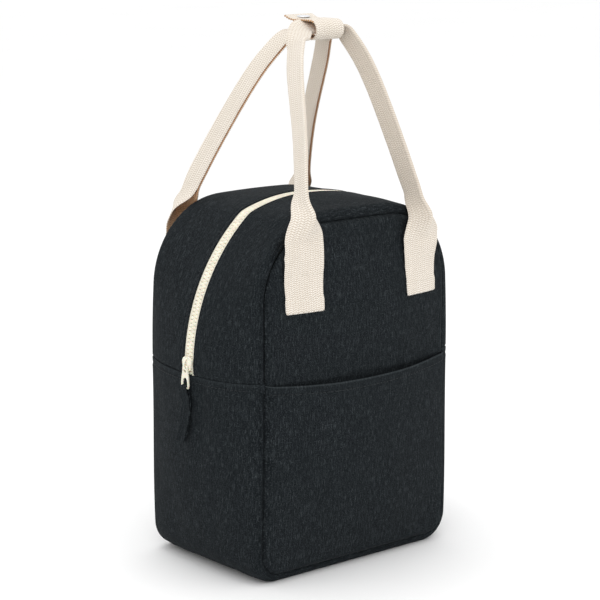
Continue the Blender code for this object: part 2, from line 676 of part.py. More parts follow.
def main():
    clear_scene()
    build_panels()
    build_pocket()
    build_base_gusset()
    for side, side_name in ((-1, "front"), (1, "back")):
        build_zip_gusset(side, side_name)
        build_zip_half(side, side_name)
    build_zip_stops()
    build_bindings()
    build_handle_ends()
    build_handle(-1, "front_handle")
    build_handle(1, "back_handle")
    build_wrap()
    build_press_stud()
    build_slider()
    build_pull_tab()
    build_pull_tie()


main()
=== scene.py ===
"""Looks of a soft insulated lunch bag: charcoal twill, cream webbing handles, ivory zip.

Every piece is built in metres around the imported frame. The bag's front is -Y and it stands on z = 0.
"""

import math

import bmesh
import bpy
import numpy as np
from mathutils import Matrix, Vector, noise
from mathutils.bvhtree import BVHTree


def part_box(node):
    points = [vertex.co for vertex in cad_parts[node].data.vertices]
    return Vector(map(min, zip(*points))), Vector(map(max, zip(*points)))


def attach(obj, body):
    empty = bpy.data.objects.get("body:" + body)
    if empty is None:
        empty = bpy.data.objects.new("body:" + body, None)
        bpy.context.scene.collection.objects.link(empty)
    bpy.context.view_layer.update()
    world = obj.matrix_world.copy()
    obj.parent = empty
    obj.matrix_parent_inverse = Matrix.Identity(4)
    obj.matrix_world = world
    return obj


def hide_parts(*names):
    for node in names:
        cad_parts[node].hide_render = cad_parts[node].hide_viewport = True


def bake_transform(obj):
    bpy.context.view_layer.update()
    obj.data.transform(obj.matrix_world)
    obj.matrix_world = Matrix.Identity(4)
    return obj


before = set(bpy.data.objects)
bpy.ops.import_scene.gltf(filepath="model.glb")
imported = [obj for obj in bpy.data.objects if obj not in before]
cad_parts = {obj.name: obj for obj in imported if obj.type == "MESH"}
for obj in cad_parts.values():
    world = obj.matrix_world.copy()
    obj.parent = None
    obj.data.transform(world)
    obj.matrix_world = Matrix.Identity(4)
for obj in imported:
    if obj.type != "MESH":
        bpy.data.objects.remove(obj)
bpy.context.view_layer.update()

# ---- sizes read from the frame ----
MM = 0.001
GAP = 0.3 * MM
HALF_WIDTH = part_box("back_panel")[1][0]
SEAM_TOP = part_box("back_panel")[1][2]
HALF_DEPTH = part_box("base_gusset")[1][1] + 1.5 * MM
FOLD_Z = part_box("base_gusset")[1][2] + 0.4 * MM
ZIP_TOP_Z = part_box("zip_gusset_back")[1][2]
END_LOW, END_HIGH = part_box("front_handle_end_left")
STRAP_WIDTH = END_HIGH[0] - END_LOW[0]
HANDLE_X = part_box("front_handle_end_right")[1][0] - STRAP_WIDTH / 2
WRAP_LOW, WRAP_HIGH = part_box("handle_wrap")
FLAP_LOW, FLAP_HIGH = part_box("wrap_flap")
CAP_LOW, CAP_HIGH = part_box("snap_cap")
TAB_LOW, TAB_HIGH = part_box("pull_tab")
PULLER_X = (TAB_LOW[0] + TAB_HIGH[0]) / 2
TIE_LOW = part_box("pull_tie")[0]

# ---- shape of the bag, as in the CAD part ----
TOP_RADIUS = 68.0 * MM
BASE_RADIUS = 23.0 * MM
PANEL_BULGE = 16.5 * MM
POCKET_PROUD = 1.7 * MM
POCKET_SAG = 5.0 * MM
SLIT_DEPTH = 5.5 * MM
SIDE_BULGE = 19.9 * MM
SWELL_POWER = 2.2
ZIP_CENTRE = (33.2 * MM, 171.04 * MM)
ZIP_RADIUS = 155.6 * MM
ZIP_ARC_END = math.radians(50.7)
SLIDER_ANGLE = math.radians(1.8)
BAG_MIDDLE = np.array([0.0, 0.15])
HALVES = ((-1, "front"), (1, "back"))
STRIP_Y = 6.5 * MM
STRIP_STITCH = STRIP_Y + 2.9 * MM
SIDE_STITCH = 5.2 * MM
TAPE_Y = (0.4 * MM, 16.0 * MM)
TAPE_THICK = 0.6 * MM
CLOTH_THICK = 1.2 * MM
FOAM_LAYER = (1.6 * MM, 5.2 * MM)
LINING_LAYER = (5.35 * MM, 6.0 * MM)
INNER_INSET = 10.5 * MM
LAYER_END = HALF_DEPTH - 8.5 * MM

# ---- seams: both cloths roll over and meet in a valley ----
SEAM_INSET = 7.5 * MM
SEAM_SINK = 4.2 * MM
ROLL_START = 8.5 * MM
ROLL_PULL = 4.6 * MM
PANEL_ROLL = 4.6 * MM
LAP_DEPTH = 7.0 * MM


# ---- numbers ----
def smoothstep(value):
    value = np.clip(value, 0.0, 1.0)
    return value * value * (3 - 2 * value)


def bump(value, centre, width):
    return np.exp(-((value - centre) / width) ** 2)


def arc_length(points):
    steps = np.linalg.norm(np.diff(points, axis=0), axis=1)
    return np.concatenate([[0.0], np.cumsum(steps)])


def along_line(at, length, values):
    """The row of values at this distance along a line, where length holds each row's own distance."""
    return np.array([np.interp(at, length, column) for column in values.T])


def resample(points, count):
    """Evenly spaced points along a polyline."""
    points = np.asarray(points, float)
    length = arc_length(points)
    return along_line(np.linspace(0, length[-1], count), length, points).T


def bezier(p0, p1, p2, p3, count):
    """Points along a cubic curve. Each corner is a point, or an array of points for a row of curves."""
    corners = [np.array(p, float) for p in (p0, p1, p2, p3)]
    steps = np.linspace(0, 1, count).reshape(-1, *[1] * corners[0].ndim)
    rest = 1 - steps
    return (rest ** 3 * corners[0] + 3 * rest ** 2 * steps * corners[1]
            + 3 * rest * steps ** 2 * corners[2] + steps ** 3 * corners[3])


def round_angles(count):
    """This many angles, evenly round a full turn."""
    return np.linspace(0, 2 * math.pi, count + 1)[:-1]


def pairs_grid(across, along):
    """(across, along) of every grid point. across has one value for each column, or for each point."""
    return np.stack(np.broadcast_arrays(across, along[:, None]), axis=-1)


def unit(vectors):
    return vectors / np.maximum(np.linalg.norm(vectors, axis=-1, keepdims=True), 1e-12)


def soft_noise(points, size, seed):
    """Smooth noise from -1 to 1 at each point, with features of about this size."""
    flat = np.asarray(points, float).reshape(-1, 3) / size + seed
    values = [noise.noise(Vector(p)) for p in flat]
    return np.array(values).reshape(np.shape(points)[:-1])


def grid_normals(grid, outward):
    """Unit normals of a grid of points, turned to agree with the outward directions."""
    normal = unit(np.cross(np.gradient(grid, axis=0), np.gradient(grid, axis=1)))
    flip = np.sum(normal * outward, axis=-1) < 0
    normal[flip] *= -1
    return normal


# ---- meshes ----
SPREAD = 0.020
SPREAD_BELOW = 145 * MM
SPREAD_FULL = 25 * MM
ZIP_DRIFT = 7.5 * MM
# The drift starts this far from the middle (x) and from the ground (z), and grows over this run.
DRIFT_X = (5 * MM, 60 * MM)
DRIFT_Z = (60 * MM, 70 * MM)
DRIFTING = ("zip_", "woven_tape_", "chain_", "slider_", "puller", "pull_ribbon", "lower_gusset")
RIM_ROUND = 0.45


def spread_at_base(points):
    """The standing bag is a little wider towards its base."""
    points = np.array(points, float)
    share = smoothstep((SPREAD_BELOW - points[:, 2]) / (SPREAD_BELOW - SPREAD_FULL))
    points[:, 0] *= 1 + SPREAD * share
    return points


def drifted(points):
    """The left run of the zip lies a little towards the front, and the cloth beside it gives way."""
    points = np.array(points, float)
    left = smoothstep((-points[:, 0] - DRIFT_X[0]) / DRIFT_X[1])
    high = smoothstep((points[:, 2] - DRIFT_Z[0]) / DRIFT_Z[1])
    across = np.clip(1 - np.abs(points[:, 1]) / (HALF_DEPTH - 6 * MM), 0, 1)
    points[:, 1] -= ZIP_DRIFT * left * high * across
    return points


def make_mesh(name, points, faces, uv, materials, indices=None, painted_light=None):
    """A smooth mesh object. uv is None, or has one pair, in metres, for each point."""
    mesh = bpy.data.meshes.new(name)
    points = spread_at_base(points)
    if name.startswith(DRIFTING):
        points = drifted(points)
    mesh.from_pydata([tuple(p) for p in points], [], [tuple(int(i) for i in f) for f in faces])
    for material in materials:
        mesh.materials.append(material)
    if indices is not None:
        mesh.polygons.foreach_set("material_index", np.asarray(indices, np.int32))
    if uv is not None:
        layer = mesh.uv_layers.new(name="weave")
        corner = np.empty(len(mesh.loops), np.int32)
        mesh.loops.foreach_get("vertex_index", corner)
        layer.data.foreach_set("uv", np.asarray(uv, np.float32)[corner].reshape(-1))
    if painted_light is not None:
        layer = mesh.attributes.new("painted_light", "FLOAT", "POINT")
        layer.data.foreach_set("value", np.asarray(painted_light, np.float32))
    edit = bmesh.new()
    edit.from_mesh(mesh)
    bmesh.ops.recalc_face_normals(edit, faces=edit.faces)
    edit.to_mesh(mesh)
    edit.free()
    mesh.shade_smooth()
    made = bpy.data.objects.new(name, mesh)
    bpy.context.scene.collection.objects.link(made)
    return made


def slab(name, outer, inner, uv, materials, painted_light=None):
    """Closed sheet between two grids, with a rounded rim. A second material is for its inner face; the
    webbing puts its painted-shade copy there.
    """
    rows, cols = outer.shape[:2]
    count = rows * cols
    faces, kinds = [], []
    for row in range(rows - 1):
        for col in range(cols - 1):
            a, b = row * cols + col, (row + 1) * cols + col
            faces.append([a, b, b + 1, a + 1])
            faces.append([count + a, count + a + 1, count + b + 1, count + b])
            kinds += [0, 1]
    loop = [(0, col) for col in range(cols)]
    loop += [(row, cols - 1) for row in range(1, rows)]
    loop += [(rows - 1, col) for col in range(cols - 2, -1, -1)]
    loop += [(row, 0) for row in range(rows - 2, 0, -1)]
    row, col = np.array(loop).T
    middle = 0.5 * (outer + inner)
    away = unit(middle[row, col] - middle[np.clip(row, 1, rows - 2), np.clip(col, 1, cols - 2)])
    thickness = np.linalg.norm(outer - inner, axis=-1)[row, col]
    rim = middle[row, col] + away * thickness[:, None] * RIM_ROUND
    edge = row * cols + col
    for i, (here, there) in enumerate(zip(edge, np.roll(edge, -1))):
        above, beyond = 2 * count + i, 2 * count + (i + 1) % len(loop)
        faces.append([here, there, beyond, above])
        faces.append([above, beyond, count + there, count + here])
        kinds += [0, 0]
    points = np.vstack([outer.reshape(-1, 3), inner.reshape(-1, 3), rim])
    uvs = np.vstack([uv.reshape(-1, 2), uv.reshape(-1, 2), uv[row, col]])
    if painted_light is not None:
        painted_light = np.concatenate([painted_light.reshape(-1), painted_light.reshape(-1), painted_light[row, col]])
    indices = kinds if len(materials) > 1 else None
    return make_mesh(name, points, faces, uvs, materials, indices, painted_light)


def disc_slab(name, outer, inner, uv, materials):
    """Closed sheet from rings of points. The last ring is a single centre point repeated."""
    rings, count = outer.shape[:2]
    size = (rings - 1) * count
    points, uvs, faces = [], [], []
    for surface in (outer, inner):
        points += [surface[:-1].reshape(-1, 3), surface[-1, :1]]
        uvs += [uv[:-1].reshape(-1, 2), uv[-1, :1]]
    for side in (0, 1):
        base = side * (size + 1)
        for ring in range(rings - 2):
            for i in range(count):
                j = (i + 1) % count
                a, b = base + ring * count, base + (ring + 1) * count
                faces.append([a + i, a + j, b + j, b + i])
        last = base + (rings - 2) * count
        faces += [[last + i, last + (i + 1) % count, base + size] for i in range(count)]
    for i in range(count):
        j = (i + 1) % count
        faces.append([i, j, size + 1 + j, size + 1 + i])
    return make_mesh(name, np.vstack(points), faces, np.vstack(uvs), materials)


def loft(sections, closed_ends=True):
    """Points and faces of a body through equal rings of points."""
    count = len(sections[0])
    points = np.vstack(sections)
    faces = []
    for k in range(len(sections) - 1):
        for j in range(count):
            a, b = k * count + j, k * count + (j + 1) % count
            faces.append([a, b, b + count, a + count])
    if closed_ends:
        last = (len(sections) - 1) * count
        faces += [list(range(count))[::-1], [last + j for j in range(count)]]
    return points, faces


def join_lists(parts):
    """One points array and one face list from many (points, faces) pairs."""
    points, faces, start = [], [], 0
    for part_points, part_faces in parts:
        points.append(part_points)
        faces += [[start + i for i in face] for face in part_faces]
        start += len(part_points)
    return np.vstack(points), faces


# ---- materials ----
class Surface:
    """A Principled material, with short forms for building its nodes."""

    def __init__(self, name, colour, roughness, metallic=0.0):
        self.material = bpy.data.materials.new(name)
        self.material.use_nodes = True
        self.tree = self.material.node_tree
        self.shader = self.tree.nodes["Principled BSDF"]
        self.put("Base Color", (*colour, 1.0))
        self.put("Roughness", roughness)
        self.put("Metallic", metallic)

    def set_input(self, socket, value):
        """value is a socket to link, or a plain value."""
        if isinstance(value, bpy.types.NodeSocket):
            self.tree.links.new(value, socket)
        else:
            socket.default_value = value

    def put(self, name, value):
        self.set_input(self.shader.inputs[name], value)

    def add(self, kind, **values):
        node = self.tree.nodes.new(kind)
        for key, value in values.items():
            setattr(node, key, value)
        return node

    def math(self, operation, *values, clamp=False):
        node = self.add("ShaderNodeMath", operation=operation, use_clamp=clamp)
        for socket, value in zip(node.inputs, values):
            self.set_input(socket, value)
        return node.outputs[0]

    def times(self, a, b, clamp=False):
        return self.math("MULTIPLY", a, b, clamp=clamp)

    def plus(self, a, b, clamp=False):
        return self.math("ADD", a, b, clamp=clamp)

    def wave(self, value, length):
        """A sine wave of this length along value."""
        return self.math("SINE", self.times(value, 2 * math.pi / length))

    def uv(self):
        """The flat place on the cloth in metres, and its two parts: across and along."""
        node = self.add("ShaderNodeUVMap", uv_map="weave")
        split = self.add("ShaderNodeSeparateXYZ")
        self.set_input(split.inputs[0], node.outputs[0])
        return node.outputs[0], split.outputs[0], split.outputs[1]

    def place(self):
        return self.add("ShaderNodeTexCoord").outputs["Object"]

    # Mesh attribute of painted light: a highlight on the cloth's folded edges, and shade on the handles'
    # right legs.
    def painted_light(self):
        return self.add("ShaderNodeAttribute", attribute_name="painted_light").outputs["Fac"]

    def noise(self, vector, scale, detail, stretch=(1.0, 1.0), roughness=0.5):
        mapping = self.add("ShaderNodeMapping")
        mapping.inputs["Scale"].default_value = (*stretch, 1.0)
        self.set_input(mapping.inputs["Vector"], vector)
        texture = self.add("ShaderNodeTexNoise")
        for name, value in (("Scale", scale), ("Detail", detail), ("Roughness", roughness),
                            ("Vector", mapping.outputs[0])):
            self.set_input(texture.inputs[name], value)
        return texture.outputs["Fac"]

    def ramp(self, value, low, high):
        """0 below low, 1 above high."""
        node = self.add("ShaderNodeMapRange", interpolation_type="SMOOTHSTEP")
        for name, setting in (("Value", value), ("From Min", low), ("From Max", high)):
            self.set_input(node.inputs[name], setting)
        return node.outputs["Result"]

    def mix(self, factor, a, b):
        """a and b are colours or colour sockets."""
        node = self.add("ShaderNodeMix", data_type="RGBA")
        self.set_input(node.inputs[0], factor)
        for socket, value in ((node.inputs[6], a), (node.inputs[7], b)):
            self.set_input(socket, (*value, 1.0) if isinstance(value, tuple) else value)
        return node.outputs[2]

    def bump(self, height, distance, strength):
        node = self.add("ShaderNodeBump")
        for name, value in (("Strength", strength), ("Distance", distance), ("Height", height)):
            self.set_input(node.inputs[name], value)
        self.put("Normal", node.outputs[0])


def charcoal_cloth():
    """Fine twill in mixed dark yarns, with paler slubs along the warp and a painted highlight along its
    folded edges.
    """
    n = Surface("charcoal_cloth", (0.018, 0.021, 0.024), 0.9)
    vector, across, along = n.uv()
    streak = n.noise(vector, 1.0, 3.0, (1300.0, 170.0), 0.6)
    slub = n.noise(vector, 1.0, 2.0, (720.0, 75.0), 0.55)
    broad = n.noise(vector, 1.0, 2.0, (60.0, 14.0))
    speck = n.noise(vector, 1.0, 1.0, (1700.0, 900.0))
    pale = n.times(n.ramp(streak, 0.50, 0.76), 0.55)
    pale = n.plus(pale, n.times(n.ramp(slub, 0.55, 0.75), 0.14))
    pale = n.plus(pale, n.times(n.ramp(speck, 0.48, 0.80), 0.50))
    pale = n.times(pale, n.plus(0.55, broad), clamp=True)
    # Painted highlight: paler along the folded edges, from the mesh attribute.
    pale = n.plus(pale, n.times(n.painted_light(), 0.45), clamp=True)
    dark = n.mix(n.ramp(slub, 0.30, 0.66), (0.0048, 0.0066, 0.0080), (0.0084, 0.0108, 0.0127))
    n.put("Base Color", n.mix(pale, dark, (0.056, 0.066, 0.071)))
    diagonal = n.plus(n.times(across, 2200.0), n.times(along, 2200.0))
    ribs = n.math("SINE", n.times(diagonal, 2.0))
    height = n.plus(n.times(ribs, 0.35), n.times(streak, 1.2))
    n.bump(n.plus(height, speck), 0.12 * MM, 0.8)
    n.put("Sheen Weight", 0.01)
    n.put("Sheen Roughness", 0.4)
    n.put("Sheen Tint", (0.60, 0.65, 0.70, 1.0))
    n.put("Specular IOR Level", 0.08)
    return n.material


def webbing_material(name, light, dark, gap_shade):
    """Herringbone cotton webbing: columns along the strap whose threads slant left and right in turn."""
    n = Surface(name, light, 0.86)
    vector, across, along = n.uv()
    column = n.math("DIVIDE", across, 2.6 * MM)
    inside = n.math("FRACT", column)
    odd = n.math("ABSOLUTE", n.math("MODULO", n.math("FLOOR", column), 2.0))
    mirrored = n.math("ABSOLUTE", n.math("SUBTRACT", odd, inside))
    slant = n.plus(n.math("DIVIDE", along, 1.75 * MM), n.times(mirrored, 0.70))
    thread = n.math("SINE", n.times(slant, 2 * math.pi))
    thread = n.math("POWER", n.plus(n.times(thread, 0.5), 0.5), 0.6)
    dome = n.math("SINE", n.times(inside, math.pi))
    height = n.times(thread, n.plus(n.times(dome, 0.7), 0.3))
    fibre = n.noise(vector, 1.0, 3.0, (2600.0, 900.0), 0.6)
    broad = n.noise(vector, 1.0, 2.0, (90.0, 30.0))
    colour = n.mix(n.ramp(broad, 0.3, 0.7), dark, light)
    colour = n.mix(n.ramp(fibre, 0.62, 0.35), colour, dark)
    # Painted shade: darker where the weave's threads dip, between them.
    colour = n.mix(n.ramp(height, 0.62, 0.06), colour, gap_shade)
    # Painted shade: where the mesh attribute is set (the handles' right legs), the colour goes towards the
    # darkest webbing colour.
    n.put("Base Color", n.mix(n.times(n.painted_light(), 0.48), colour, gap_shade))
    n.bump(n.plus(height, n.times(fibre, 0.25)), 0.42 * MM, 1.0)
    n.put("Sheen Weight", 0.15)
    n.put("Sheen Roughness", 0.5)
    n.put("Specular IOR Level", 0.25)
    return n.material


def thread_material(name, colour):
    """Twisted sewing thread."""
    n = Surface(name, colour, 0.7)
    fibre = n.noise(n.place(), 2500.0, 2.0)
    darker = tuple(0.72 * c for c in colour)
    n.put("Base Color", n.mix(n.ramp(fibre, 0.35, 0.65), darker, colour))
    n.bump(fibre, 0.08 * MM, 0.6)
    return n.material


def tape_material():
    """Woven zip tape with fine cross ribs."""
    n = Surface("ivory_tape", (0.80, 0.76, 0.64), 0.8)
    vector, across, along = n.uv()
    height = n.plus(n.times(n.wave(along, 0.62 * MM), 0.6), n.times(n.wave(across, 0.8 * MM), 0.4))
    fibre = n.noise(vector, 1.0, 2.0, (1800.0, 1200.0))
    # Painted shade: darker in the hollows between the ribs.
    colour = n.mix(n.ramp(height, 0.1, -0.8), (0.82, 0.785, 0.67), (0.66, 0.60, 0.47))
    n.put("Base Color", n.mix(n.ramp(fibre, 0.45, 0.75), colour, (0.74, 0.69, 0.56)))
    n.bump(n.plus(height, fibre), 0.12 * MM, 0.7)
    return n.material


def plastic_material(name, colour, roughness):
    """Moulded plastic with a faint orange-peel surface and slightly uneven colour."""
    n = Surface(name, colour, roughness)
    grain = n.noise(n.place(), 900.0, 3.0)
    blotch = n.noise(n.place(), 160.0, 2.0)
    mottle_and_painted_highlight = tuple(0.86 * c for c in colour)
    n.put("Base Color", n.mix(n.ramp(blotch, 0.35, 0.7), mottle_and_painted_highlight, colour))
    n.put("Roughness", n.plus(n.times(grain, 0.25), roughness - 0.10))
    n.bump(grain, 0.05 * MM, 0.35)
    n.put("Subsurface Weight", 0.12)
    n.put("Subsurface Scale", 1.0 * MM)
    return n.material


def metal_material():
    """Nickel-plated brass with fine turning marks."""
    n = Surface("nickel_plate", (0.78, 0.79, 0.82), 0.22, 1.0)
    grain = n.noise(n.place(), 1400.0, 3.0)
    tint = n.noise(n.place(), 240.0, 2.0)
    n.put("Base Color", n.mix(n.ramp(tint, 0.3, 0.7), (0.70, 0.71, 0.73), (0.83, 0.84, 0.87)))
    n.put("Roughness", n.plus(n.times(grain, 0.20), 0.12))
    n.bump(grain, 0.02 * MM, 0.3)
    return n.material


def lining_material():
    """Wipe-clean lining: a silver-grey film over a fine weave."""
    n = Surface("silver_lining", (0.52, 0.53, 0.54), 0.38)
    vector, across, along = n.uv()
    weave = n.times(n.wave(across, 1.1 * MM), n.wave(along, 1.1 * MM))
    crease = n.noise(vector, 1.0, 4.0, (45.0, 45.0), 0.6)
    # Painted shade: darker where the creases sink.
    n.put("Base Color", n.mix(n.ramp(crease, 0.3, 0.7), (0.42, 0.43, 0.44), (0.60, 0.61, 0.62)))
    n.put("Roughness", n.plus(n.times(crease, 0.3), 0.22))
    n.bump(n.plus(n.times(weave, 0.15), n.times(crease, 4.0)), 0.25 * MM, 0.6)
    return n.material


def foam_material():
    """White closed-cell foam."""
    n = Surface("white_foam", (0.80, 0.80, 0.78), 0.8)
    cells = n.add("ShaderNodeTexVoronoi")
    n.set_input(cells.inputs["Scale"], 1100.0)
    n.set_input(cells.inputs["Vector"], n.place())
    spot = n.ramp(cells.outputs["Distance"], 0.1, 0.7)
    # Painted shade: darker in the hollow of each cell.
    n.put("Base Color", n.mix(spot, (0.66, 0.66, 0.64), (0.84, 0.84, 0.82)))
    n.bump(spot, 0.15 * MM, 0.5)
    return n.material


def binding_material():
    """Ribbed black seam binding."""
    n = Surface("black_binding", (0.03, 0.03, 0.033), 0.85)
    broad = n.noise(n.place(), 180.0, 2.0)
    n.put("Base Color", n.mix(n.ramp(broad, 0.3, 0.7), (0.022, 0.022, 0.025), (0.045, 0.045, 0.050)))
    n.bump(n.noise(n.place(), 1500.0, 3.0), 0.15 * MM, 0.6)
    return n.material


def floor_material():
    """Plain white studio floor."""
    n = Surface("studio_floor", (0.93, 0.93, 0.93), 0.75)
    tint = n.ramp(n.noise(n.place(), 3.0, 2.0), 0.3, 0.7)
    n.put("Base Color", n.mix(tint, (0.955, 0.955, 0.955), (0.97, 0.97, 0.97)))
    return n.material


CLOTH = charcoal_cloth()
WEBBING = webbing_material("cream_webbing", (0.88, 0.825, 0.75), (0.81, 0.75, 0.665), (0.57, 0.49, 0.40))
# Painted shade: a warmer, darker tan copy of the webbing, for the inner faces of the handles and wrap,
# where they lie in shade.
WEBBING_PAINTED_SHADE = webbing_material("cream_webbing_painted_shade", (0.92, 0.60, 0.37), (0.84, 0.53, 0.31),
                                  (0.56, 0.32, 0.17))
DARK_THREAD = thread_material("charcoal_thread", (0.0030, 0.0060, 0.0085))
TAN_THREAD = thread_material("tan_thread", (0.52, 0.28, 0.12))
CREAM_THREAD = thread_material("cream_thread", (0.86, 0.81, 0.72))
TAPE = tape_material()
IVORY = plastic_material("ivory_plastic", (0.84, 0.80, 0.66), 0.42)
IVORY_TEETH = plastic_material("ivory_teeth", (0.86, 0.81, 0.67), 0.45)
NICKEL = metal_material()
LINING = lining_material()
FOAM = foam_material()
BINDING = binding_material()


# ---- how the pieces go on the frame ----
def on_body(piece, slot, body, *nodes):
    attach(piece, body)
    if nodes:
        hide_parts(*nodes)


def over_fold(piece, slot, *nodes):
    """Cloth, tape or thread on the front flap, baked in place with its CAD nodes hidden."""
    if nodes:
        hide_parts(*nodes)
    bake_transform(piece)


def on_half(piece, slot, side, *nodes):
    """The front half of the zip and its strip is baked in place like the front flap's cloth, and the back
    half stays on the bag.
    """
    if side < 0:
        over_fold(piece, slot, *nodes)
    else:
        on_body(piece, slot, "bag", *nodes)


# ---- surfaces of the panels ----
def pillow(x, z):
    height = np.clip(z / SEAM_TOP, 0, 1)
    across = np.clip(np.abs(x) / HALF_WIDTH, 0, 1)
    return PANEL_BULGE * 4 * height * (1 - height) * (1 - across ** 2)


def wrinkle(x, z, seed):
    """Soft hollows and swells of filled cloth, faded out at the seams."""
    points = np.stack([x, np.zeros_like(x), z], axis=-1)
    calm = smoothstep(inside_distance(x, z, SEAM_INSET) / (22 * MM))
    wide = soft_noise(points, 52 * MM, seed)
    tall = soft_noise(points * np.array([1.0, 1.0, 0.45]), 21 * MM, seed + 7.3)
    return calm * (1.15 * MM * wide + 0.38 * MM * tall)


def back_bulge(x, z):
    return pillow(x, z) + wrinkle(x, z, 3.1)


def front_bulge(x, z):
    """The front panel lies back behind the pocket and just above its mouth."""
    across = 1 - np.clip(np.abs(x) / HALF_WIDTH, 0, 1) ** 2
    above = 1 - smoothstep((z - FOLD_Z) / (60 * MM))
    below = smoothstep(z / (90 * MM))
    reach = np.where(z > FOLD_Z, above, below)
    behind = 1.3 * MM * (1 - smoothstep((z - FOLD_Z + 6 * MM) / (5 * MM)))
    return pillow(x, z) - SLIT_DEPTH * across * reach - behind + wrinkle(x, z, 1.7)


def pocket_bulge(x, z):
    return pillow(x, z) + POCKET_PROUD + wrinkle(x, z, 1.7)


def inside_distance(x, z, inset):
    """Distance inwards from the panel outline, itself moved inwards by inset."""
    x = np.abs(x)
    side = HALF_WIDTH - inset - x
    result = np.minimum(side, np.minimum(SEAM_TOP - inset - z, z - inset))
    corners = ((TOP_RADIUS, SEAM_TOP - TOP_RADIUS, 1), (BASE_RADIUS, BASE_RADIUS, -1))
    for radius, centre_z, direction in corners:
        centre_x = HALF_WIDTH - radius
        corner = (x > centre_x) & ((z - centre_z) * direction > 0)
        reach = radius - inset - np.hypot(x - centre_x, z - centre_z)
        result = np.where(corner, reach, result)
    return np.maximum(result, 0.0)


def panel_face(x, z, bulge):
    """Distance of a panel's outer face from the bag's middle plane, with its edge rolled into the seam."""
    inner = np.clip(inside_distance(x, z, SEAM_INSET) / PANEL_ROLL, 0, 1)
    roll = np.sqrt(1 - (1 - inner) ** 2)
    return HALF_DEPTH - SEAM_SINK + (bulge(x, z) + SEAM_SINK) * roll


# ---- outlines ----
def upper_seam(count):
    """Seam line of the arch as (x, z), left fold to right fold."""
    left = [(-HALF_WIDTH, FOLD_Z), (-HALF_WIDTH, SEAM_TOP - TOP_RADIUS)]
    centre_x = HALF_WIDTH - TOP_RADIUS
    for angle in np.linspace(0, 0.5 * math.pi, 60)[1:]:
        left.append((-centre_x - TOP_RADIUS * math.cos(angle),
                     SEAM_TOP - TOP_RADIUS + TOP_RADIUS * math.sin(angle)))
    left.append((0.0, SEAM_TOP))
    return resample(left + [(-x, z) for x, z in left[-2::-1]], count)


def zip_line(count):
    """Middle line of the arch as (x, z): an arc up the left side, a soft curve over the top, mirrored."""
    start = math.asin((FOLD_Z - ZIP_CENTRE[1]) / ZIP_RADIUS)
    arc = [(ZIP_CENTRE[0] - ZIP_RADIUS * math.cos(a), ZIP_CENTRE[1] + ZIP_RADIUS * math.sin(a))
           for a in np.linspace(start, ZIP_ARC_END, 90)]
    end = arc[-1]
    lead = 6.0 * MM
    over = bezier(end, (end[0] + lead * math.sin(ZIP_ARC_END), end[1] + lead * math.cos(ZIP_ARC_END)),
                  (-35.0 * MM, ZIP_TOP_Z), (0.0, ZIP_TOP_Z), 50)
    left = arc + [tuple(p) for p in over[1:]]
    return resample(left + [(-x, z) for x, z in left[-2::-1]], count)


def side_bulge(z):
    return SIDE_BULGE * np.sin(0.5 * math.pi * np.clip(z / FOLD_Z, 0, 1) ** 0.75)


def lower_seam(step):
    """Seam line under the bag as (x, z), left fold to right fold."""
    corner = HALF_WIDTH - BASE_RADIUS
    left = [(-HALF_WIDTH, FOLD_Z), (-HALF_WIDTH, BASE_RADIUS)]
    for angle in np.linspace(0, 0.5 * math.pi, 24)[1:]:
        left.append((-corner - BASE_RADIUS * math.cos(angle), BASE_RADIUS * (1 - math.sin(angle))))
    line = left + [(-x, z) for x, z in left[::-1]]
    return resample(line, int(round(arc_length(np.array(line))[-1] / step)))


def inward(line, tangent=None):
    """Unit vectors in the (x, z) plane that point into the bag from a line round it."""
    if tangent is None:
        tangent = unit(np.gradient(line, axis=0))
    normal = np.stack([tangent[:, 1], -tangent[:, 0]], axis=1)
    flip = np.sum(normal * (BAG_MIDDLE - line), axis=1) < 0
    normal[flip] *= -1
    return normal


class Band:
    """The gusset's outer surface along one run: stations round the bag, sections across its depth."""

    def __init__(self, seam, middle, sink):
        self.seam = seam
        self.middle = middle
        self.sink = sink
        self.inside = inward(seam)
        self.along = arc_length(middle)

    def section(self, depth):
        """Points of every station at one |y| up to where the edge rolls."""
        swell = 1 - (abs(depth) / HALF_DEPTH) ** SWELL_POWER
        line = self.seam + (self.middle - self.seam) * swell
        return np.stack([line[:, 0], np.full(len(line), depth), line[:, 1]], axis=1)

    def rolled(self, sign, steps):
        """The stations' points over the rolled edge, from the flat part to the seam."""
        start_y = HALF_DEPTH - ROLL_START
        first = self.section(start_y)
        slope = -SWELL_POWER * (start_y / HALF_DEPTH) ** (SWELL_POWER - 1) / HALF_DEPTH
        leave = (self.middle - self.seam) * slope
        leave = unit(np.stack([leave[:, 0], np.ones(len(leave)), leave[:, 1]], axis=1))
        end = self.seam + self.inside * SEAM_INSET
        last = np.stack([end[:, 0], np.full(len(end), HALF_DEPTH - SEAM_SINK), end[:, 1]], axis=1)
        arrive = unit(np.stack([self.inside[:, 0], np.full(len(end), -0.9), self.inside[:, 1]], axis=1))
        curves = bezier(first, first + leave * ROLL_PULL, last - arrive * ROLL_PULL, last, steps + 1)
        rolled = np.moveaxis(curves[1:], 0, 1)
        rolled[..., 1] *= sign
        return rolled

    def grid(self, depths, sign, roll_steps):
        flat = np.stack([self.section(d) for d in depths], axis=1)
        flat[..., 1] *= sign
        if not roll_steps:
            return flat
        return np.concatenate([flat, self.rolled(sign, roll_steps)], axis=1)

    def outward(self, grid):
        away = np.zeros_like(grid)
        away[..., 0] = -self.inside[:, None, 0]
        away[..., 2] = -self.inside[:, None, 1]
        return away


def tucked(line):
    """The line with both its ends run on straight down, behind the lower gusset's lip."""
    x = line[0][0]
    left = [(x, FOLD_Z - drop) for drop in np.linspace(LAP_DEPTH, 0.8 * MM, 5)]
    return np.vstack([left, line, [(-px, pz) for px, pz in left[::-1]]])


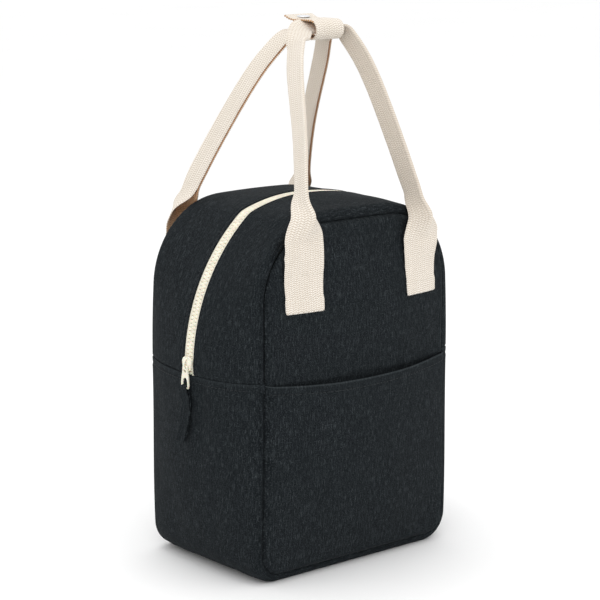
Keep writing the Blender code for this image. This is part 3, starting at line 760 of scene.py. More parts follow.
def arch_band(count):
    seam = tucked(upper_seam(count))
    middle = tucked(zip_line(count))
    sink = 1.5 * MM * (1 - smoothstep((middle[:, 1] - FOLD_Z + 0.6 * MM) / (2.4 * MM)))
    return Band(seam, middle, sink)


def base_band():
    seam = lower_seam(2.4 * MM)
    middle = seam.copy()
    bulging = seam[:, 1] > 1e-6
    middle[bulging, 0] += np.sign(seam[bulging, 0]) * side_bulge(seam[bulging, 1])
    return Band(seam, middle, np.zeros(len(seam)))


def gusset_wrinkle(grid, depth, seed):
    """Soft hollows along the gusset, faded out beside the zip and at the seams."""
    depth = np.abs(depth)
    calm = smoothstep((depth - 9 * MM) / (18 * MM)) * smoothstep((HALF_DEPTH - 9 * MM - depth) / (14 * MM))
    wide = soft_noise(grid, 46 * MM, seed)
    fine = soft_noise(grid * np.array([1.0, 1.0, 0.6]), 19 * MM, seed + 5.7)
    return calm * (1.1 * MM * wide + 0.35 * MM * fine)


# ---- front and back panels ----
def panel_outline():
    """Closed seam outline of a panel as (x, z), and the unit vectors into the panel there."""
    upper = upper_seam(230)
    lower = lower_seam(2.6 * MM)[::-1]
    line = np.vstack([upper, lower[1:-1]])
    return line, inward(line, unit(np.roll(line, -1, axis=0) - np.roll(line, 1, axis=0)))


def panel_rings(inset):
    """Rings of (x, z) points from the seam to the middle, close together beside the seam."""
    line, normal = panel_outline()
    edge = line + normal * inset
    centre = np.array([0.0, 0.148])
    near_share = 0.075
    near = np.linspace(0, 1, 12) ** 1.5 * near_share
    far = np.linspace(near_share, 1.0, 40)[1:]
    return np.stack([centre + (edge - centre) * (1 - a) for a in np.concatenate([near, far])])


def panel_layer(name, side, bulge, layer, inset, material):
    rings = panel_rings(inset)
    x, z = rings[..., 0], rings[..., 1]
    face = panel_face(x, z, bulge)
    outer = np.stack([x, side * (face - layer[0]), z], axis=-1)
    inner = np.stack([x, side * (face - layer[1]), z], axis=-1)
    return disc_slab(name, outer, inner, rings.copy(), [material])


def build_panels():
    layers = (("", "cloth", (0.0, CLOTH_THICK), SEAM_INSET + 0.4 * MM, CLOTH),
              ("_foam", "foam", FOAM_LAYER, INNER_INSET, FOAM),
              ("_lining", "lining", LINING_LAYER, INNER_INSET, LINING))
    for suffix, kind, layer, inset, material in layers:
        back = panel_layer("rear_panel" + suffix, 1, back_bulge, layer, inset, material)
        on_body(back, kind, "bag", "back_panel" + suffix)
        front = panel_layer("front_panel" + suffix, -1, front_bulge, layer, inset, material)
        over_fold(front, kind, "front_panel_upper" + suffix, "front_panel_lower" + suffix)


# ---- pocket ----
HEM_DEPTH = 9.0 * MM
HEM_STITCH = 6.0 * MM


def hem_height(x):
    return FOLD_Z - 1.0 * MM - POCKET_SAG * (1 - (np.abs(x) / HALF_WIDTH) ** 2)


def pocket_bottom(x, inset):
    reach = np.abs(x) - (HALF_WIDTH - BASE_RADIUS)
    radius = BASE_RADIUS - inset
    curved = BASE_RADIUS - np.sqrt(np.maximum(radius ** 2 - np.maximum(reach, 0) ** 2, 0))
    return np.where(reach <= 0, inset, curved)


def pocket_relief(below_edge):
    """The hem swells between its fold and its stitches, which pull the cloth in."""
    return (0.18 * MM * bump(below_edge, 1.2 * MM, 1.4 * MM)
            - 0.45 * MM * bump(below_edge, HEM_STITCH, 0.7 * MM)
            + 0.15 * MM * bump(below_edge, HEM_DEPTH - 0.6 * MM, 1.0 * MM))


def build_pocket():
    half = HALF_WIDTH - SEAM_INSET
    x = half * np.sin(0.5 * math.pi * np.linspace(-1, 1, 111))
    rows = np.concatenate([np.linspace(0, 1, 14)[:-1] ** 1.6 * 0.10, np.linspace(0.10, 0.90, 44)[:-1],
                           np.linspace(0.90, 1.0, 22)])
    low, high = pocket_bottom(x, SEAM_INSET), hem_height(x)
    z = low[:, None] + (high - low)[:, None] * rows
    xs = np.repeat(x[:, None], len(rows), axis=1)
    below = high[:, None] - z
    face = panel_face(xs, z, pocket_bulge) + pocket_relief(below)
    double = smoothstep((HEM_DEPTH - below) / (0.8 * MM))
    thick = 0.9 * MM + 0.8 * MM * double
    outer = np.stack([xs, -face, z], axis=-1)
    inner = np.stack([xs, -(face - thick), z], axis=-1)
    # Painted highlight along the hem's folded top edge.
    mottle_and_painted_highlight = 0.7 * smoothstep((0.7 * MM - below) / (0.6 * MM))
    pocket = slab("pocket", outer, inner, np.stack([xs, z], axis=-1), [CLOTH], painted_light=mottle_and_painted_highlight)
    over_fold(pocket, "cloth", "front_pocket")
    widest_z = 0.09
    widest = np.stack([x, panel_face(x, np.full_like(x, widest_z), pocket_bulge)], axis=1)
    centre_z = np.linspace(SEAM_INSET, hem_height(0.0), 60)
    tallest = np.stack([centre_z, panel_face(np.zeros_like(centre_z), centre_z, pocket_bulge)], axis=1)


# ---- gussets ----
def gusset_layer(name, band, depths, sign, roll_steps, layer, material, seed, relief=None):
    grid = band.grid(depths, sign, roll_steps)
    away = band.outward(grid)
    depth = grid[..., 1]
    lift = gusset_wrinkle(grid, depth, seed) - band.sink[:, None]
    if relief is not None:
        lift = lift + relief(grid)
    raised = grid + grid_normals(grid, away) * lift[..., None]
    normal = grid_normals(raised, away)
    uv = pairs_grid(arc_length(grid[len(grid) // 2]), band.along)
    return slab(name, raised - normal * layer[0], raised - normal * layer[1], uv, [material])


def strip_relief(grid):
    """A folded edge beside the zip, and the row of stitches that holds it."""
    depth = np.abs(grid[..., 1])
    return (0.30 * MM * bump(depth, STRIP_Y + 1.0 * MM, 1.0 * MM)
            - 0.35 * MM * bump(depth, STRIP_STITCH, 0.6 * MM)
            + 0.20 * MM * bump(depth, STRIP_Y + 5.0 * MM, 1.6 * MM))


def side_relief(grid):
    """The lower side's folded top edge with its stitches, and the hollow below the zip's end."""
    below = FOLD_Z - grid[..., 2]
    edge = (0.18 * MM * bump(below, 1.0 * MM, 1.2 * MM) - 0.40 * MM * bump(below, SIDE_STITCH, 0.7 * MM)
            + 0.20 * MM * bump(below, 7.6 * MM, 1.6 * MM))
    return edge + side_hollow(grid)


def side_hollow(grid):
    """A dip beside the puller's ribbon, in every layer of the lower left side."""
    below = FOLD_Z - grid[..., 2]
    depth = grid[..., 1]
    left = (grid[..., 0] < 0) * smoothstep(below / (8 * MM)) * smoothstep((105 * MM - below) / (80 * MM))
    hollow = -2.1 * MM * bump(depth, -14.5 * MM, 8 * MM) + 0.9 * MM * bump(depth, 3 * MM, 9 * MM)
    return left * hollow


EDGE_DEPTHS = np.array([0.0, 0.4, 0.9, 1.5, 2.1, 2.5, 2.9, 3.3, 3.8, 4.6, 5.6, 7.0, 9.0]) * MM
STRIP_DEPTHS = np.concatenate([STRIP_Y + EDGE_DEPTHS, np.linspace(17 * MM, HALF_DEPTH - ROLL_START, 20)])
ROLL_STEPS = 12


def build_gussets():
    arch = arch_band(190)
    base = base_band()
    whole_depth = np.linspace(-LAYER_END, LAYER_END, 36)
    half_depth = np.linspace(17.5 * MM, LAYER_END, 18)
    for side, label in HALVES:
        piece = gusset_layer("zip_strip_" + label, arch, STRIP_DEPTHS, side, ROLL_STEPS,
                             (0.0, CLOTH_THICK), CLOTH, 11.0 + side, strip_relief)
        on_half(piece, "cloth", side, "zip_gusset_" + label)
    over_fold(base_cloth(base), "cloth", "base_gusset")
    for kind, layer, material, cut in (("foam", FOAM_LAYER, FOAM, 4), ("lining", LINING_LAYER, LINING, 3)):
        for side, label in HALVES:
            piece = gusset_layer("zip_strip_" + label + "_" + kind, arch, half_depth, side, 0,
                                 layer, material, 11.0 + side)
            on_half(piece, kind, side, "zip_gusset_" + label + "_" + kind)
        short = Band(base.seam[cut:-cut], base.middle[cut:-cut], base.sink[cut:-cut])
        piece = gusset_layer("lower_gusset_" + kind, short, whole_depth, 1, 0,
                             layer, material, 4.4, side_hollow)
        over_fold(piece, kind, "base_gusset_" + kind)
    return arch


def base_cloth(base):
    """The lower gusset's cloth, rolled into both seams."""
    flat = base.grid(np.linspace(-(HALF_DEPTH - ROLL_START), HALF_DEPTH - ROLL_START, 55), 1, 0)
    grid = np.concatenate([base.rolled(-1, ROLL_STEPS)[:, ::-1], flat, base.rolled(1, ROLL_STEPS)], axis=1)
    away = base.outward(grid)
    depth = grid[..., 1]
    lift = gusset_wrinkle(grid, depth, 4.4) + side_relief(grid)
    raised = grid + grid_normals(grid, away) * lift[..., None]
    normal = grid_normals(raised, away)
    standing = (grid[..., 2] < 1e-4) & (np.abs(depth) < HALF_DEPTH - ROLL_START)
    raised[..., 2] = np.maximum(raised[..., 2], 0.0)
    normal[standing] = (0.0, 0.0, -1.0)
    uv = pairs_grid(arc_length(grid[len(grid) // 2]), base.along)
    # Painted highlight along the lower side's folded top edge.
    mottle_and_painted_highlight = 0.3 * smoothstep((0.7 * MM - (FOLD_Z - grid[..., 2])) / (0.6 * MM))
    return slab("lower_gusset", raised, raised - normal * CLOTH_THICK, uv, [CLOTH], painted_light=mottle_and_painted_highlight)


# ---- seam bindings inside the bag ----
BINDING_INSET = 9.6 * MM
BINDING_DEPTH = HALF_DEPTH - 8.0 * MM
BINDING_HALF_WIDTH = 2.4 * MM
BINDING_HALF_THICK = 1.1 * MM


def binding_tube(name, side):
    """Folded binding over the seam allowances: a soft strip that follows the inside of a seam all round."""
    sections = []
    for point, inside in zip(*panel_outline()):
        centre = point + inside * BINDING_INSET
        section = []
        for angle in round_angles(12):
            reach = BINDING_HALF_WIDTH * math.cos(angle)
            depth = BINDING_DEPTH + BINDING_HALF_THICK * math.sin(angle)
            section.append((centre[0] + inside[0] * reach, side * depth, centre[1] + inside[1] * reach))
        sections.append(np.array(section))
    points, faces = loft(sections + sections[:1], closed_ends=False)
    count = len(points) - len(sections[0])
    faces = [[i % count for i in face] for face in faces]
    return make_mesh(name, points[:count], faces, None, [BINDING])


def build_bindings():
    on_body(binding_tube("seam_binding_rear", 1), "binding", "bag", "seam_binding_back")
    over_fold(binding_tube("seam_binding_front", -1), "binding",
              "seam_binding_front_upper", "seam_binding_front_lower")


# ---- zip ----
TOOTH_PITCH = 3.1 * MM


def tape_sink(y):
    """How deep the tape lies: under the teeth, nearly level beside them, and under the cloth beyond."""
    beside_teeth = smoothstep((y / MM - 3.2) / 1.3)
    under_cloth = smoothstep((y / MM - 5.2) / 1.3)
    return (2.7 - 2.3 * beside_teeth + 1.2 * under_cloth) * MM


def build_tapes(arch):
    depths = np.concatenate([[TAPE_Y[0]], np.linspace(1.6 * MM, 8.0 * MM, 17),
                             np.linspace(9.0 * MM, TAPE_Y[1], 5)])
    trimmed = Band(arch.seam[4:-4], arch.middle[4:-4], 0 * arch.sink[4:-4])
    for side, label in HALVES:
        grid = trimmed.grid(depths, side, 0)
        normal = grid_normals(grid, trimmed.outward(grid))
        sink = tape_sink(np.abs(grid[..., 1]))[..., None]
        tape = slab("woven_tape_" + label, grid - normal * sink, grid - normal * (sink + TAPE_THICK),
                    pairs_grid(grid[..., 1], trimmed.along), [TAPE])
        on_half(tape, "zip_tape", side, "zip_tape_" + label)


# One moulded tooth, standing across the chain: (y, half length along, half height) of each section, in mm.
TOOTH_PROFILE = ((-1.55, 0.30, 0.45), (-1.40, 0.70, 0.84), (-0.90, 0.96, 1.06), (0.05, 0.90, 1.12),
                 (0.70, 0.80, 1.10), (1.20, 1.00, 1.10), (1.65, 1.42, 1.14), (3.15, 1.48, 1.14),
                 (3.65, 1.38, 1.00), (3.90, 0.85, 0.60))


def tooth(centre, along, inwards, side):
    sections = []
    for y, half_along, half_high in TOOTH_PROFILE:
        section = []
        for a in round_angles(10):
            c, s = math.cos(a), math.sin(a)
            square = (abs(c) ** 3 + abs(s) ** 3) ** (-1 / 3)
            flat = centre + along * half_along * MM * c * square + inwards * half_high * MM * s * square
            section.append((flat[0], side * y * MM, flat[1]))
        sections.append(np.array(section))
    return loft(sections)


def build_teeth():
    line = zip_line(1600)
    line = line[line[:, 1] >= FOLD_Z + 3.0 * MM]
    length = arc_length(line)
    tangent = unit(np.gradient(line, axis=0))
    inside = inward(line)
    for side, label in HALVES:
        parts = []
        for k in range(int(length[-1] / TOOTH_PITCH) - 1):
            at = (k + 0.75 + 0.25 * side) * TOOTH_PITCH
            inwards = unit(along_line(at, length, inside))
            centre = along_line(at, length, line) + inwards * 1.25 * MM
            parts.append(tooth(centre, unit(along_line(at, length, tangent)), inwards, side))
        teeth = make_mesh("chain_" + label, *join_lists(parts), None, [IVORY_TEETH])
        on_half(teeth, "zip_plastic", side, "zip_teeth_" + label)


def rounded_box(centre, size, radius):
    """Points and faces of a box with rounded edges."""
    edit = bmesh.new()
    bmesh.ops.create_cube(edit, size=1.0)
    for vertex in edit.verts:
        vertex.co = Vector((vertex.co[i] * size[i] for i in range(3)))
    bmesh.ops.bevel(edit, geom=list(edit.edges), offset=radius, segments=3, profile=0.5, affect="EDGES")
    edit.verts.index_update()
    points = np.array([v.co[:] for v in edit.verts]) + np.array(centre)
    faces = [[v.index for v in face.verts] for face in edit.faces]
    edit.free()
    return points, faces


def build_stops():
    """A crimped stop over both halves of the chain at each end of the zip."""
    for label in ("left", "right"):
        low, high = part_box("zip_stop_" + label)
        centre = [(low[i] + high[i]) / 2 for i in range(3)]
        size = [high[i] - low[i] for i in range(3)]
        parts = [rounded_box(centre, size, 0.6 * MM)]
        for sign in (-1, 1):
            parts.append(rounded_box((centre[0], sign * (size[1] / 2 - 0.7 * MM), centre[2]),
                                     (size[0] + 0.5 * MM, 1.3 * MM, size[2] - 0.2 * MM), 0.5 * MM))
        stop = make_mesh("chain_stop_" + label, *join_lists(parts), None, [IVORY])
        on_body(stop, "zip_plastic", "bag", "zip_stop_" + label)


# ---- slider, bridge, tab and tie ----
def turned_up_arc(points):
    """Points drawn beside the arc's middle height, turned up the arc to the slider's place."""
    turn = np.array(Matrix.Rotation(SLIDER_ANGLE, 3, "Y"))
    centre = np.array([ZIP_CENTRE[0], 0.0, ZIP_CENTRE[1]])
    return (np.asarray(points) - centre) @ turn.T + centre


def shield_outline(half_y, half_z):
    """A slider plate seen from outside: wide at the top, where the chain splits, narrower at the tail."""
    outline = []
    for a in round_angles(56):
        y, z = math.cos(a), math.sin(a)
        square = (abs(y) ** 2.7 + abs(z) ** 2.7) ** (-1 / 2.7)
        taper = 0.74 + 0.26 * float(smoothstep((z * square + 1.0) / 1.4))
        outline.append((half_y * y * square * taper, half_z * z * square))
    return outline


def plate(x_out, x_in, half_y, half_z, centre_z, crown):
    """A rounded plate between two x values. crown swells its outer face, most above the middle."""
    sections = []
    radius = 0.55 * MM
    sign = 1 if x_out < x_in else -1
    for t in np.linspace(0, math.pi, 9):
        x = (x_out + x_in) / 2 - (abs(x_out - x_in) / 2) * math.cos(t) * sign
        shrink = radius * (1 - math.sin(t) ** 0.6)
        sections.append(np.array([(x, y, centre_z + z)
                                  for y, z in shield_outline(half_y - shrink, half_z - shrink)]))
    cap = sections[0]
    middle = cap.mean(axis=0)
    domes = []
    for share in (0.08, 0.22, 0.38, 0.54, 0.70, 0.83, 0.93):
        ring = middle + (cap - middle) * share
        high = 0.35 + 0.65 * smoothstep((ring[:, 2] - centre_z + 2.5 * MM) / (4.5 * MM))
        ring[:, 0] = cap[:, 0] - sign * crown * (1 - share ** 2.4) * high
        domes.append(ring)
    return loft(domes + sections)


def build_slider():
    face = ZIP_CENTRE[0] - ZIP_RADIUS
    middle = ZIP_CENTRE[1]
    half_z = 6.1 * MM
    rail = 2 * half_z - 4.6 * MM
    parts = [plate(face - 1.9 * MM, face - 0.2 * MM, 6.2 * MM, half_z, middle, 1.7 * MM),
             plate(face + 4.7 * MM, face + 3.7 * MM, 5.4 * MM, half_z, middle, 0.0)]
    for side in (-1, 1):
        parts.append(rounded_box((face - 0.15 * MM, side * 5.2 * MM, middle + 0.6 * MM),
                                 (0.9 * MM, 1.2 * MM, rail), 0.3 * MM))
        parts.append(rounded_box((face + 3.2 * MM, side * 4.45 * MM, middle - 0.6 * MM),
                                 (1.4 * MM, 0.9 * MM, rail), 0.3 * MM))
    parts.append(rounded_box((face + 1.6 * MM, 0.0, middle + half_z - 1.6 * MM),
                             (4.6 * MM, 1.5 * MM, 2.4 * MM), 0.5 * MM))
    points, faces = join_lists(parts)
    on_body(make_mesh("zip_slider", turned_up_arc(points), faces, None, [IVORY]),
            "zip_plastic", "slider", "slider_body")


def build_bridge():
    """The bridge on the slider's outer plate, that the puller hangs in."""
    foot = ZIP_CENTRE[0] - ZIP_RADIUS - 1.3 * MM
    top = ZIP_CENTRE[1] + 5.0 * MM
    path = np.array([(foot - 3.8 * MM * math.sin(math.pi * t) ** 0.5, top - 10.2 * MM * t)
                     for t in np.linspace(0, 1, 29)])
    tangent = unit(np.gradient(path, axis=0))
    sections = []
    for k, (x, z) in enumerate(path):
        t = k / (len(path) - 1)
        half_w = (1.75 - 0.75 * math.sin(math.pi * t)) * MM
        half_t = 0.60 * MM
        ring = [(x + tangent[k][1] * half_t * math.sin(a), half_w * math.cos(a),
                 z - tangent[k][0] * half_t * math.sin(a)) for a in round_angles(14)]
        sections.append(np.array(ring))
    points, faces = loft(sections)
    on_body(make_mesh("slider_bridge", turned_up_arc(points), faces, None, [IVORY]),
            "zip_plastic", "slider", "slider_bail")


def rounded_outline(half):
    """Closed outline from the points of its right half, mirrored about y = 0, with rounded corners."""
    line = np.array(half + [(-y, z) for y, z in half[::-1]] + half[:1])
    for _ in range(3):
        near, far = line[:-1] * 0.75 + line[1:] * 0.25, line[:-1] * 0.25 + line[1:] * 0.75
        line = np.stack([near, far], axis=1).reshape(-1, 2)
        line = np.vstack([line, line[:1]])
    return line[:-1]


def build_tab():
    """Flat moulded puller: a crossbar in the bridge above, and a wide opening for the tie below."""
    top, bottom = TAB_HIGH[2], TAB_LOW[2]
    edge = 0.28 * MM
    outline = [(0.6 * MM, top), (2.5 * MM, top), (3.2 * MM, top - 1.4 * MM), (3.2 * MM, top - 5.0 * MM),
               (4.6 * MM, bottom + 8.5 * MM), (4.9 * MM, bottom + 2.5 * MM),
               (3.9 * MM, bottom), (1.0 * MM, bottom)]
    upper_hole = [(1.9 * MM, top - 1.6 * MM), (1.9 * MM, top - 6.0 * MM)]
    lower_hole = [(1.3 * MM, bottom + 9.0 * MM), (2.7 * MM, bottom + 7.2 * MM),
                  (3.1 * MM, bottom + 4.5 * MM), (2.8 * MM, bottom + 2.0 * MM)]
    curve = bpy.data.curves.new("puller", "CURVE")
    curve.dimensions = "2D"
    curve.fill_mode = "BOTH"
    curve.extrude = (TAB_HIGH[0] - TAB_LOW[0]) / 2 - edge
    curve.bevel_depth = edge
    curve.bevel_resolution = 2
    curve.offset = -edge
    for half in (outline, upper_hole, lower_hole):
        shape = rounded_outline(half)
        spline = curve.splines.new("POLY")
        spline.points.add(len(shape) - 1)
        for point, (y, z) in zip(spline.points, shape):
            point.co = (y, z, 0.0, 1.0)
        spline.use_cyclic_u = True
    holder = bpy.data.objects.new("puller_outline", curve)
    bpy.context.scene.collection.objects.link(holder)
    bpy.context.view_layer.update()
    evaluated = holder.evaluated_get(bpy.context.evaluated_depsgraph_get())
    mesh = bpy.data.meshes.new_from_object(evaluated)
    bpy.data.objects.remove(holder)
    mesh.transform(Matrix(((0, 0, 1, PULLER_X), (1, 0, 0, 0), (0, 1, 0, 0), (0, 0, 0, 1))))
    corners = drifted([v.co[:] for v in mesh.vertices])
    mesh.vertices.foreach_set("co", corners.astype(np.float32).reshape(-1))
    mesh.materials.clear()
    mesh.materials.append(IVORY)
    weld = bmesh.new()
    weld.from_mesh(mesh)
    bmesh.ops.remove_doubles(weld, verts=weld.verts, dist=0.001 * MM)
    bmesh.ops.recalc_face_normals(weld, faces=weld.faces)
    weld.to_mesh(mesh)
    weld.free()
    mesh.shade_smooth()
    mesh.set_sharp_from_angle(angle=math.radians(50))
    tab = bpy.data.objects.new("puller", mesh)
    bpy.context.scene.collection.objects.link(tab)
    on_body(tab, "zip_plastic", "pull_tab", "pull_tab")


def build_tie():
    """A strip of the bag's cloth through the tab, both layers hanging, a little bowed and turned."""
    bar_z = TAB_LOW[2] + 1.0 * MM
    bottom = TIE_LOW[2]
    layer = 0.85 * MM
    reach = 0.62 * MM
    loop = 1.6 * MM + layer / 2
    hang = np.linspace(bottom, bar_z - 5.5 * MM, 22)
    left = [(-reach - 0.25 * MM * math.sin(9 * k / 22), z) for k, z in enumerate(hang)]
    right = [(reach + 0.20 * MM * math.sin(1 + 7 * k / 22), z) for k, z in enumerate(hang)]
    over = [(-loop * math.cos(a), bar_z + loop * math.sin(a))
            for a in np.linspace(math.radians(-30), math.radians(210), 21)]
    line = resample(np.array(left + over + right[::-1]), 110)
    tangent = unit(np.gradient(line, axis=0))
    columns = np.linspace(-1, 1, 15)
    outer, inner = np.zeros((2, len(line), len(columns), 3))
    half_widths = []
    for k, (x, z) in enumerate(line):
        spread = float(smoothstep((bar_z - 1.0 * MM - z) / (12 * MM)))
        narrowing = float(smoothstep((bar_z - 16.0 * MM - z) / (30 * MM)))
        half_w = (3.0 + 2.1 * spread - 1.2 * narrowing) * MM
        drop = float(np.clip((bar_z - z) / (bar_z - bottom), 0, 1))
        turn = math.radians(10) * drop ** 1.5
        lean = 5.6 * MM * drop ** 2 - 1.2 * MM * math.sin(math.pi * drop)
        ripple = 0.25 * MM * np.sin(2.2 * columns + 60 * z) * spread
        for face, offset in ((outer, layer / 2), (inner, -layer / 2)):
            px = x + tangent[k][1] * offset + ripple
            py = columns * half_w
            face[k, :, 0] = PULLER_X + px * math.cos(turn) - py * math.sin(turn)
            face[k, :, 1] = px * math.sin(turn) + py * math.cos(turn) + lean
            face[k, :, 2] = z - tangent[k][0] * offset
        half_widths.append(half_w)
    uv = pairs_grid(np.outer(half_widths, columns), arc_length(line))
    on_body(slab("pull_ribbon", outer, inner, uv, [CLOTH]), "cloth", "pull_tie", "pull_tie")


# ---- handles ----
FLAT_COLUMNS = np.concatenate([[0, 0.45, 0.9, 1.35, 1.8, 2.6], np.linspace(4, 16, 7),
                               [17.6, 18.5, 19]]) * MM
WEB_THICK = 1.25 * MM
FOLD_BEND = 1.35 * MM
# For (side, half): where up the leg the webbing starts to fold, and over what run. FLARE is its turn
# outwards there, in degrees.
FOLD_RUN = {(-1, -1): (24 * MM, 40 * MM), (-1, 1): (12 * MM, 42 * MM),
            (1, -1): (10 * MM, 44 * MM), (1, 1): (14 * MM, 42 * MM)}
FLARE = {(-1, -1): 13, (-1, 1): 3, (1, -1): 6, (1, 1): 10}
LEG_INWARD = 4.5 * MM
LEG_THICK = 1.5 * MM
LEG_STANDOFF = 2.0 * MM
# This many rows of a handle's path at each end hold its sewn end and its pivot.
LEG_ROWS = 60
TURNED_UNDER = 10.5 * MM
# The two rows of stitches across each sewn end, by their distance from it, and the rows of points
# next to the end in which they are looked for.
END_ROWS = (9.2 * MM, 29.5 * MM)
END_ROWS_WITHIN = 80
FOLDED_WIDTH = 19.0 * MM
# How far the folded webbing closes: 0 is flat, 1 has its two halves face to face.
FOLD_SHUT = 0.975
# Up to this distance above the pivot the webbing lies on the panel or is just leaving it.
LAID_REACH = 24 * MM
PIVOT_Z = 254.6 * MM
LEG_START_Z = 255.0 * MM
APEX = {-1: (-4.5 * MM, WRAP_LOW[2] + 11.8 * MM), 1: (9.5 * MM, WRAP_LOW[2] + 6.3 * MM)}


def leg_foot_y(side):
    bulge = pillow(HANDLE_X, LEG_START_Z)
    return side * (HALF_DEPTH + bulge + 2 * GAP + LEG_THICK / 2 + LEG_STANDOFF)


# Corners in mm of each side's two leg curves: (x, y beyond the foot, z) near a foot, and x near the top.
LEG_PULLS = {-1: ((-79, -2, 380), -12, 43, (54, -2, 355)), 1: ((-74, 1, 318), -14, 36, (76, 1, 325))}


def handle_centre_line(side):
    """The CAD handle's own centre line, left foot to right foot."""
    foot_y = leg_foot_y(side)
    top_y, top_z = APEX[side]
    left_pull, left_top_x, right_top_x, right_pull = LEG_PULLS[side]
    ends = [(x * MM, foot_y + y * MM, z * MM) for x, y, z in (left_pull, right_pull)]
    left = bezier((-HANDLE_X, foot_y, LEG_START_Z), ends[0], (left_top_x * MM, top_y, top_z),
                  (-1.0 * MM, top_y, top_z), 90)
    right = bezier((33.0 * MM, top_y, top_z), (right_top_x * MM, top_y, top_z), ends[1],
                   (HANDLE_X, foot_y, LEG_START_Z), 90)
    return np.vstack([left, right])


def full_path(side):
    """Middle of the webbing from the left end sewn on the panel, over the top, to the right end."""
    bulge = front_bulge if side < 0 else back_bulge
    leg = handle_centre_line(side)
    steps = arc_length(leg)
    clear = 9 * MM
    keep = (steps > clear) & (steps < steps[-1] - clear)
    sewn = []
    for z in np.linspace(END_LOW[2], PIVOT_Z - clear, 14):
        face = float(panel_face(np.array(HANDLE_X), np.array(z), bulge))
        sewn.append((HANDLE_X, side * (face + 0.2 * MM + WEB_THICK / 2), z))
    left = [(-x, y, z) for x, y, z in sewn]
    path = np.vstack([left, leg[keep], sewn[::-1]])
    path = resample(path, 330)
    for _ in range(6):
        path[1:-1] = 0.25 * path[:-2] + 0.5 * path[1:-1] + 0.25 * path[2:]
    return path


def fold_section(angle):
    """Cross section of webbing folded about its middle: (across, back) for each column, spine at 0."""
    curve = angle / 2 / FOLD_BEND
    pairs = []
    for q in FLAT_COLUMNS:
        if curve < 1e-6:
            pairs.append((q, 0.0))
            continue
        reach = min(q, FOLD_BEND)
        across, back = math.sin(curve * reach) / curve, (1 - math.cos(curve * reach)) / curve
        rest = q - reach
        pairs.append((across + rest * math.cos(angle / 2), back + rest * math.sin(angle / 2)))
    left = [(-a, b) for a, b in pairs[:0:-1]]
    return np.array(left + pairs)


def sewn_row(centre, sign, columns, side, near_edge, foot):
    """Webbing laid flat on the panel at this height, narrowing a little towards its end."""
    bulge = front_bulge if side < 0 else back_bulge
    wider = 1 - 0.12 * float(smoothstep((LAID_REACH - foot) / (60 * MM))) + 0.02 * near_edge
    xs = centre[0] + sign * columns * wider
    zs = np.full(len(columns), centre[2])
    here = float(panel_face(np.array(centre[0]), np.array(centre[2]), bulge))
    faces = panel_face(xs, zs, bulge) + side * centre[1] - here
    return np.stack([xs, side * faces, zs], axis=1)


def handle_grid(side):
    """Points of the webbing's middle surface, each row's distance along it, and each column's across it."""
    path = full_path(side)
    tangent = unit(np.gradient(path, axis=0))
    length = arc_length(path)
    foot_left = np.interp(PIVOT_Z, path[:LEG_ROWS, 2], length[:LEG_ROWS])
    foot_right = np.interp(-PIVOT_Z, -path[-LEG_ROWS:, 2], length[-LEG_ROWS:])
    columns = np.concatenate([-FLAT_COLUMNS[:0:-1], FLAT_COLUMNS])
    grid = np.zeros((len(path), len(columns), 3))
    for k, centre in enumerate(path):
        foot = min(length[k] - foot_left, foot_right - length[k])
        half = -1 if k < len(path) / 2 else 1
        start, run = FOLD_RUN[side, half]
        fold = float(smoothstep((foot - start) / run))
        flare = math.radians(FLARE[side, half]) * float(smoothstep((foot - 40 * MM) / (26 * MM)))
        rise = float(smoothstep((centre[2] - LEG_START_Z) / (70 * MM)))
        bow = math.sin(math.pi * min(1.0, max(0.0, (foot - 25 * MM) / (150 * MM)))) ** 1.5
        top = float(smoothstep((foot - 192 * MM) / (14 * MM)))
        centre_x = half * HANDLE_X + (centre[0] - half * HANDLE_X) * rise - half * LEG_INWARD * bow
        front_top = top if side < 0 else 0.0
        droop = math.radians(28) * front_top
        centre = np.array([centre_x, centre[1], centre[2] - 1.2 * MM * front_top])
        aim = np.array([half * math.sin(flare) * (1 - top), side * math.cos(flare) * math.cos(droop),
                        -math.sin(droop)])
        front = unit(aim - tangent[k] * np.dot(aim, tangent[k]))
        across = np.cross(tangent[k], front) * (1 if side > 0 else -1)
        half_open = 1 - FOLD_SHUT * fold
        section = fold_section(2 * math.acos(half_open))
        deep = FOLDED_WIDTH * math.sqrt(1 - half_open ** 2)
        spine = centre + front * deep * (1 - 0.5 * float(smoothstep((fold - 0.35) / 0.6)))
        grid[k] = spine + section[:, :1] * across - section[:, 1:] * front
        if foot < LAID_REACH:
            near_edge = float(length[k] < TURNED_UNDER or length[-1] - length[k] < TURNED_UNDER)
            laid = sewn_row(centre, np.sign(across[0]), columns, side, near_edge, foot)
            free = float(smoothstep((centre[2] - (PIVOT_Z - 5 * MM)) / (26 * MM)))
            grid[k] = laid * (1 - free) + grid[k] * free
    return grid, length, columns


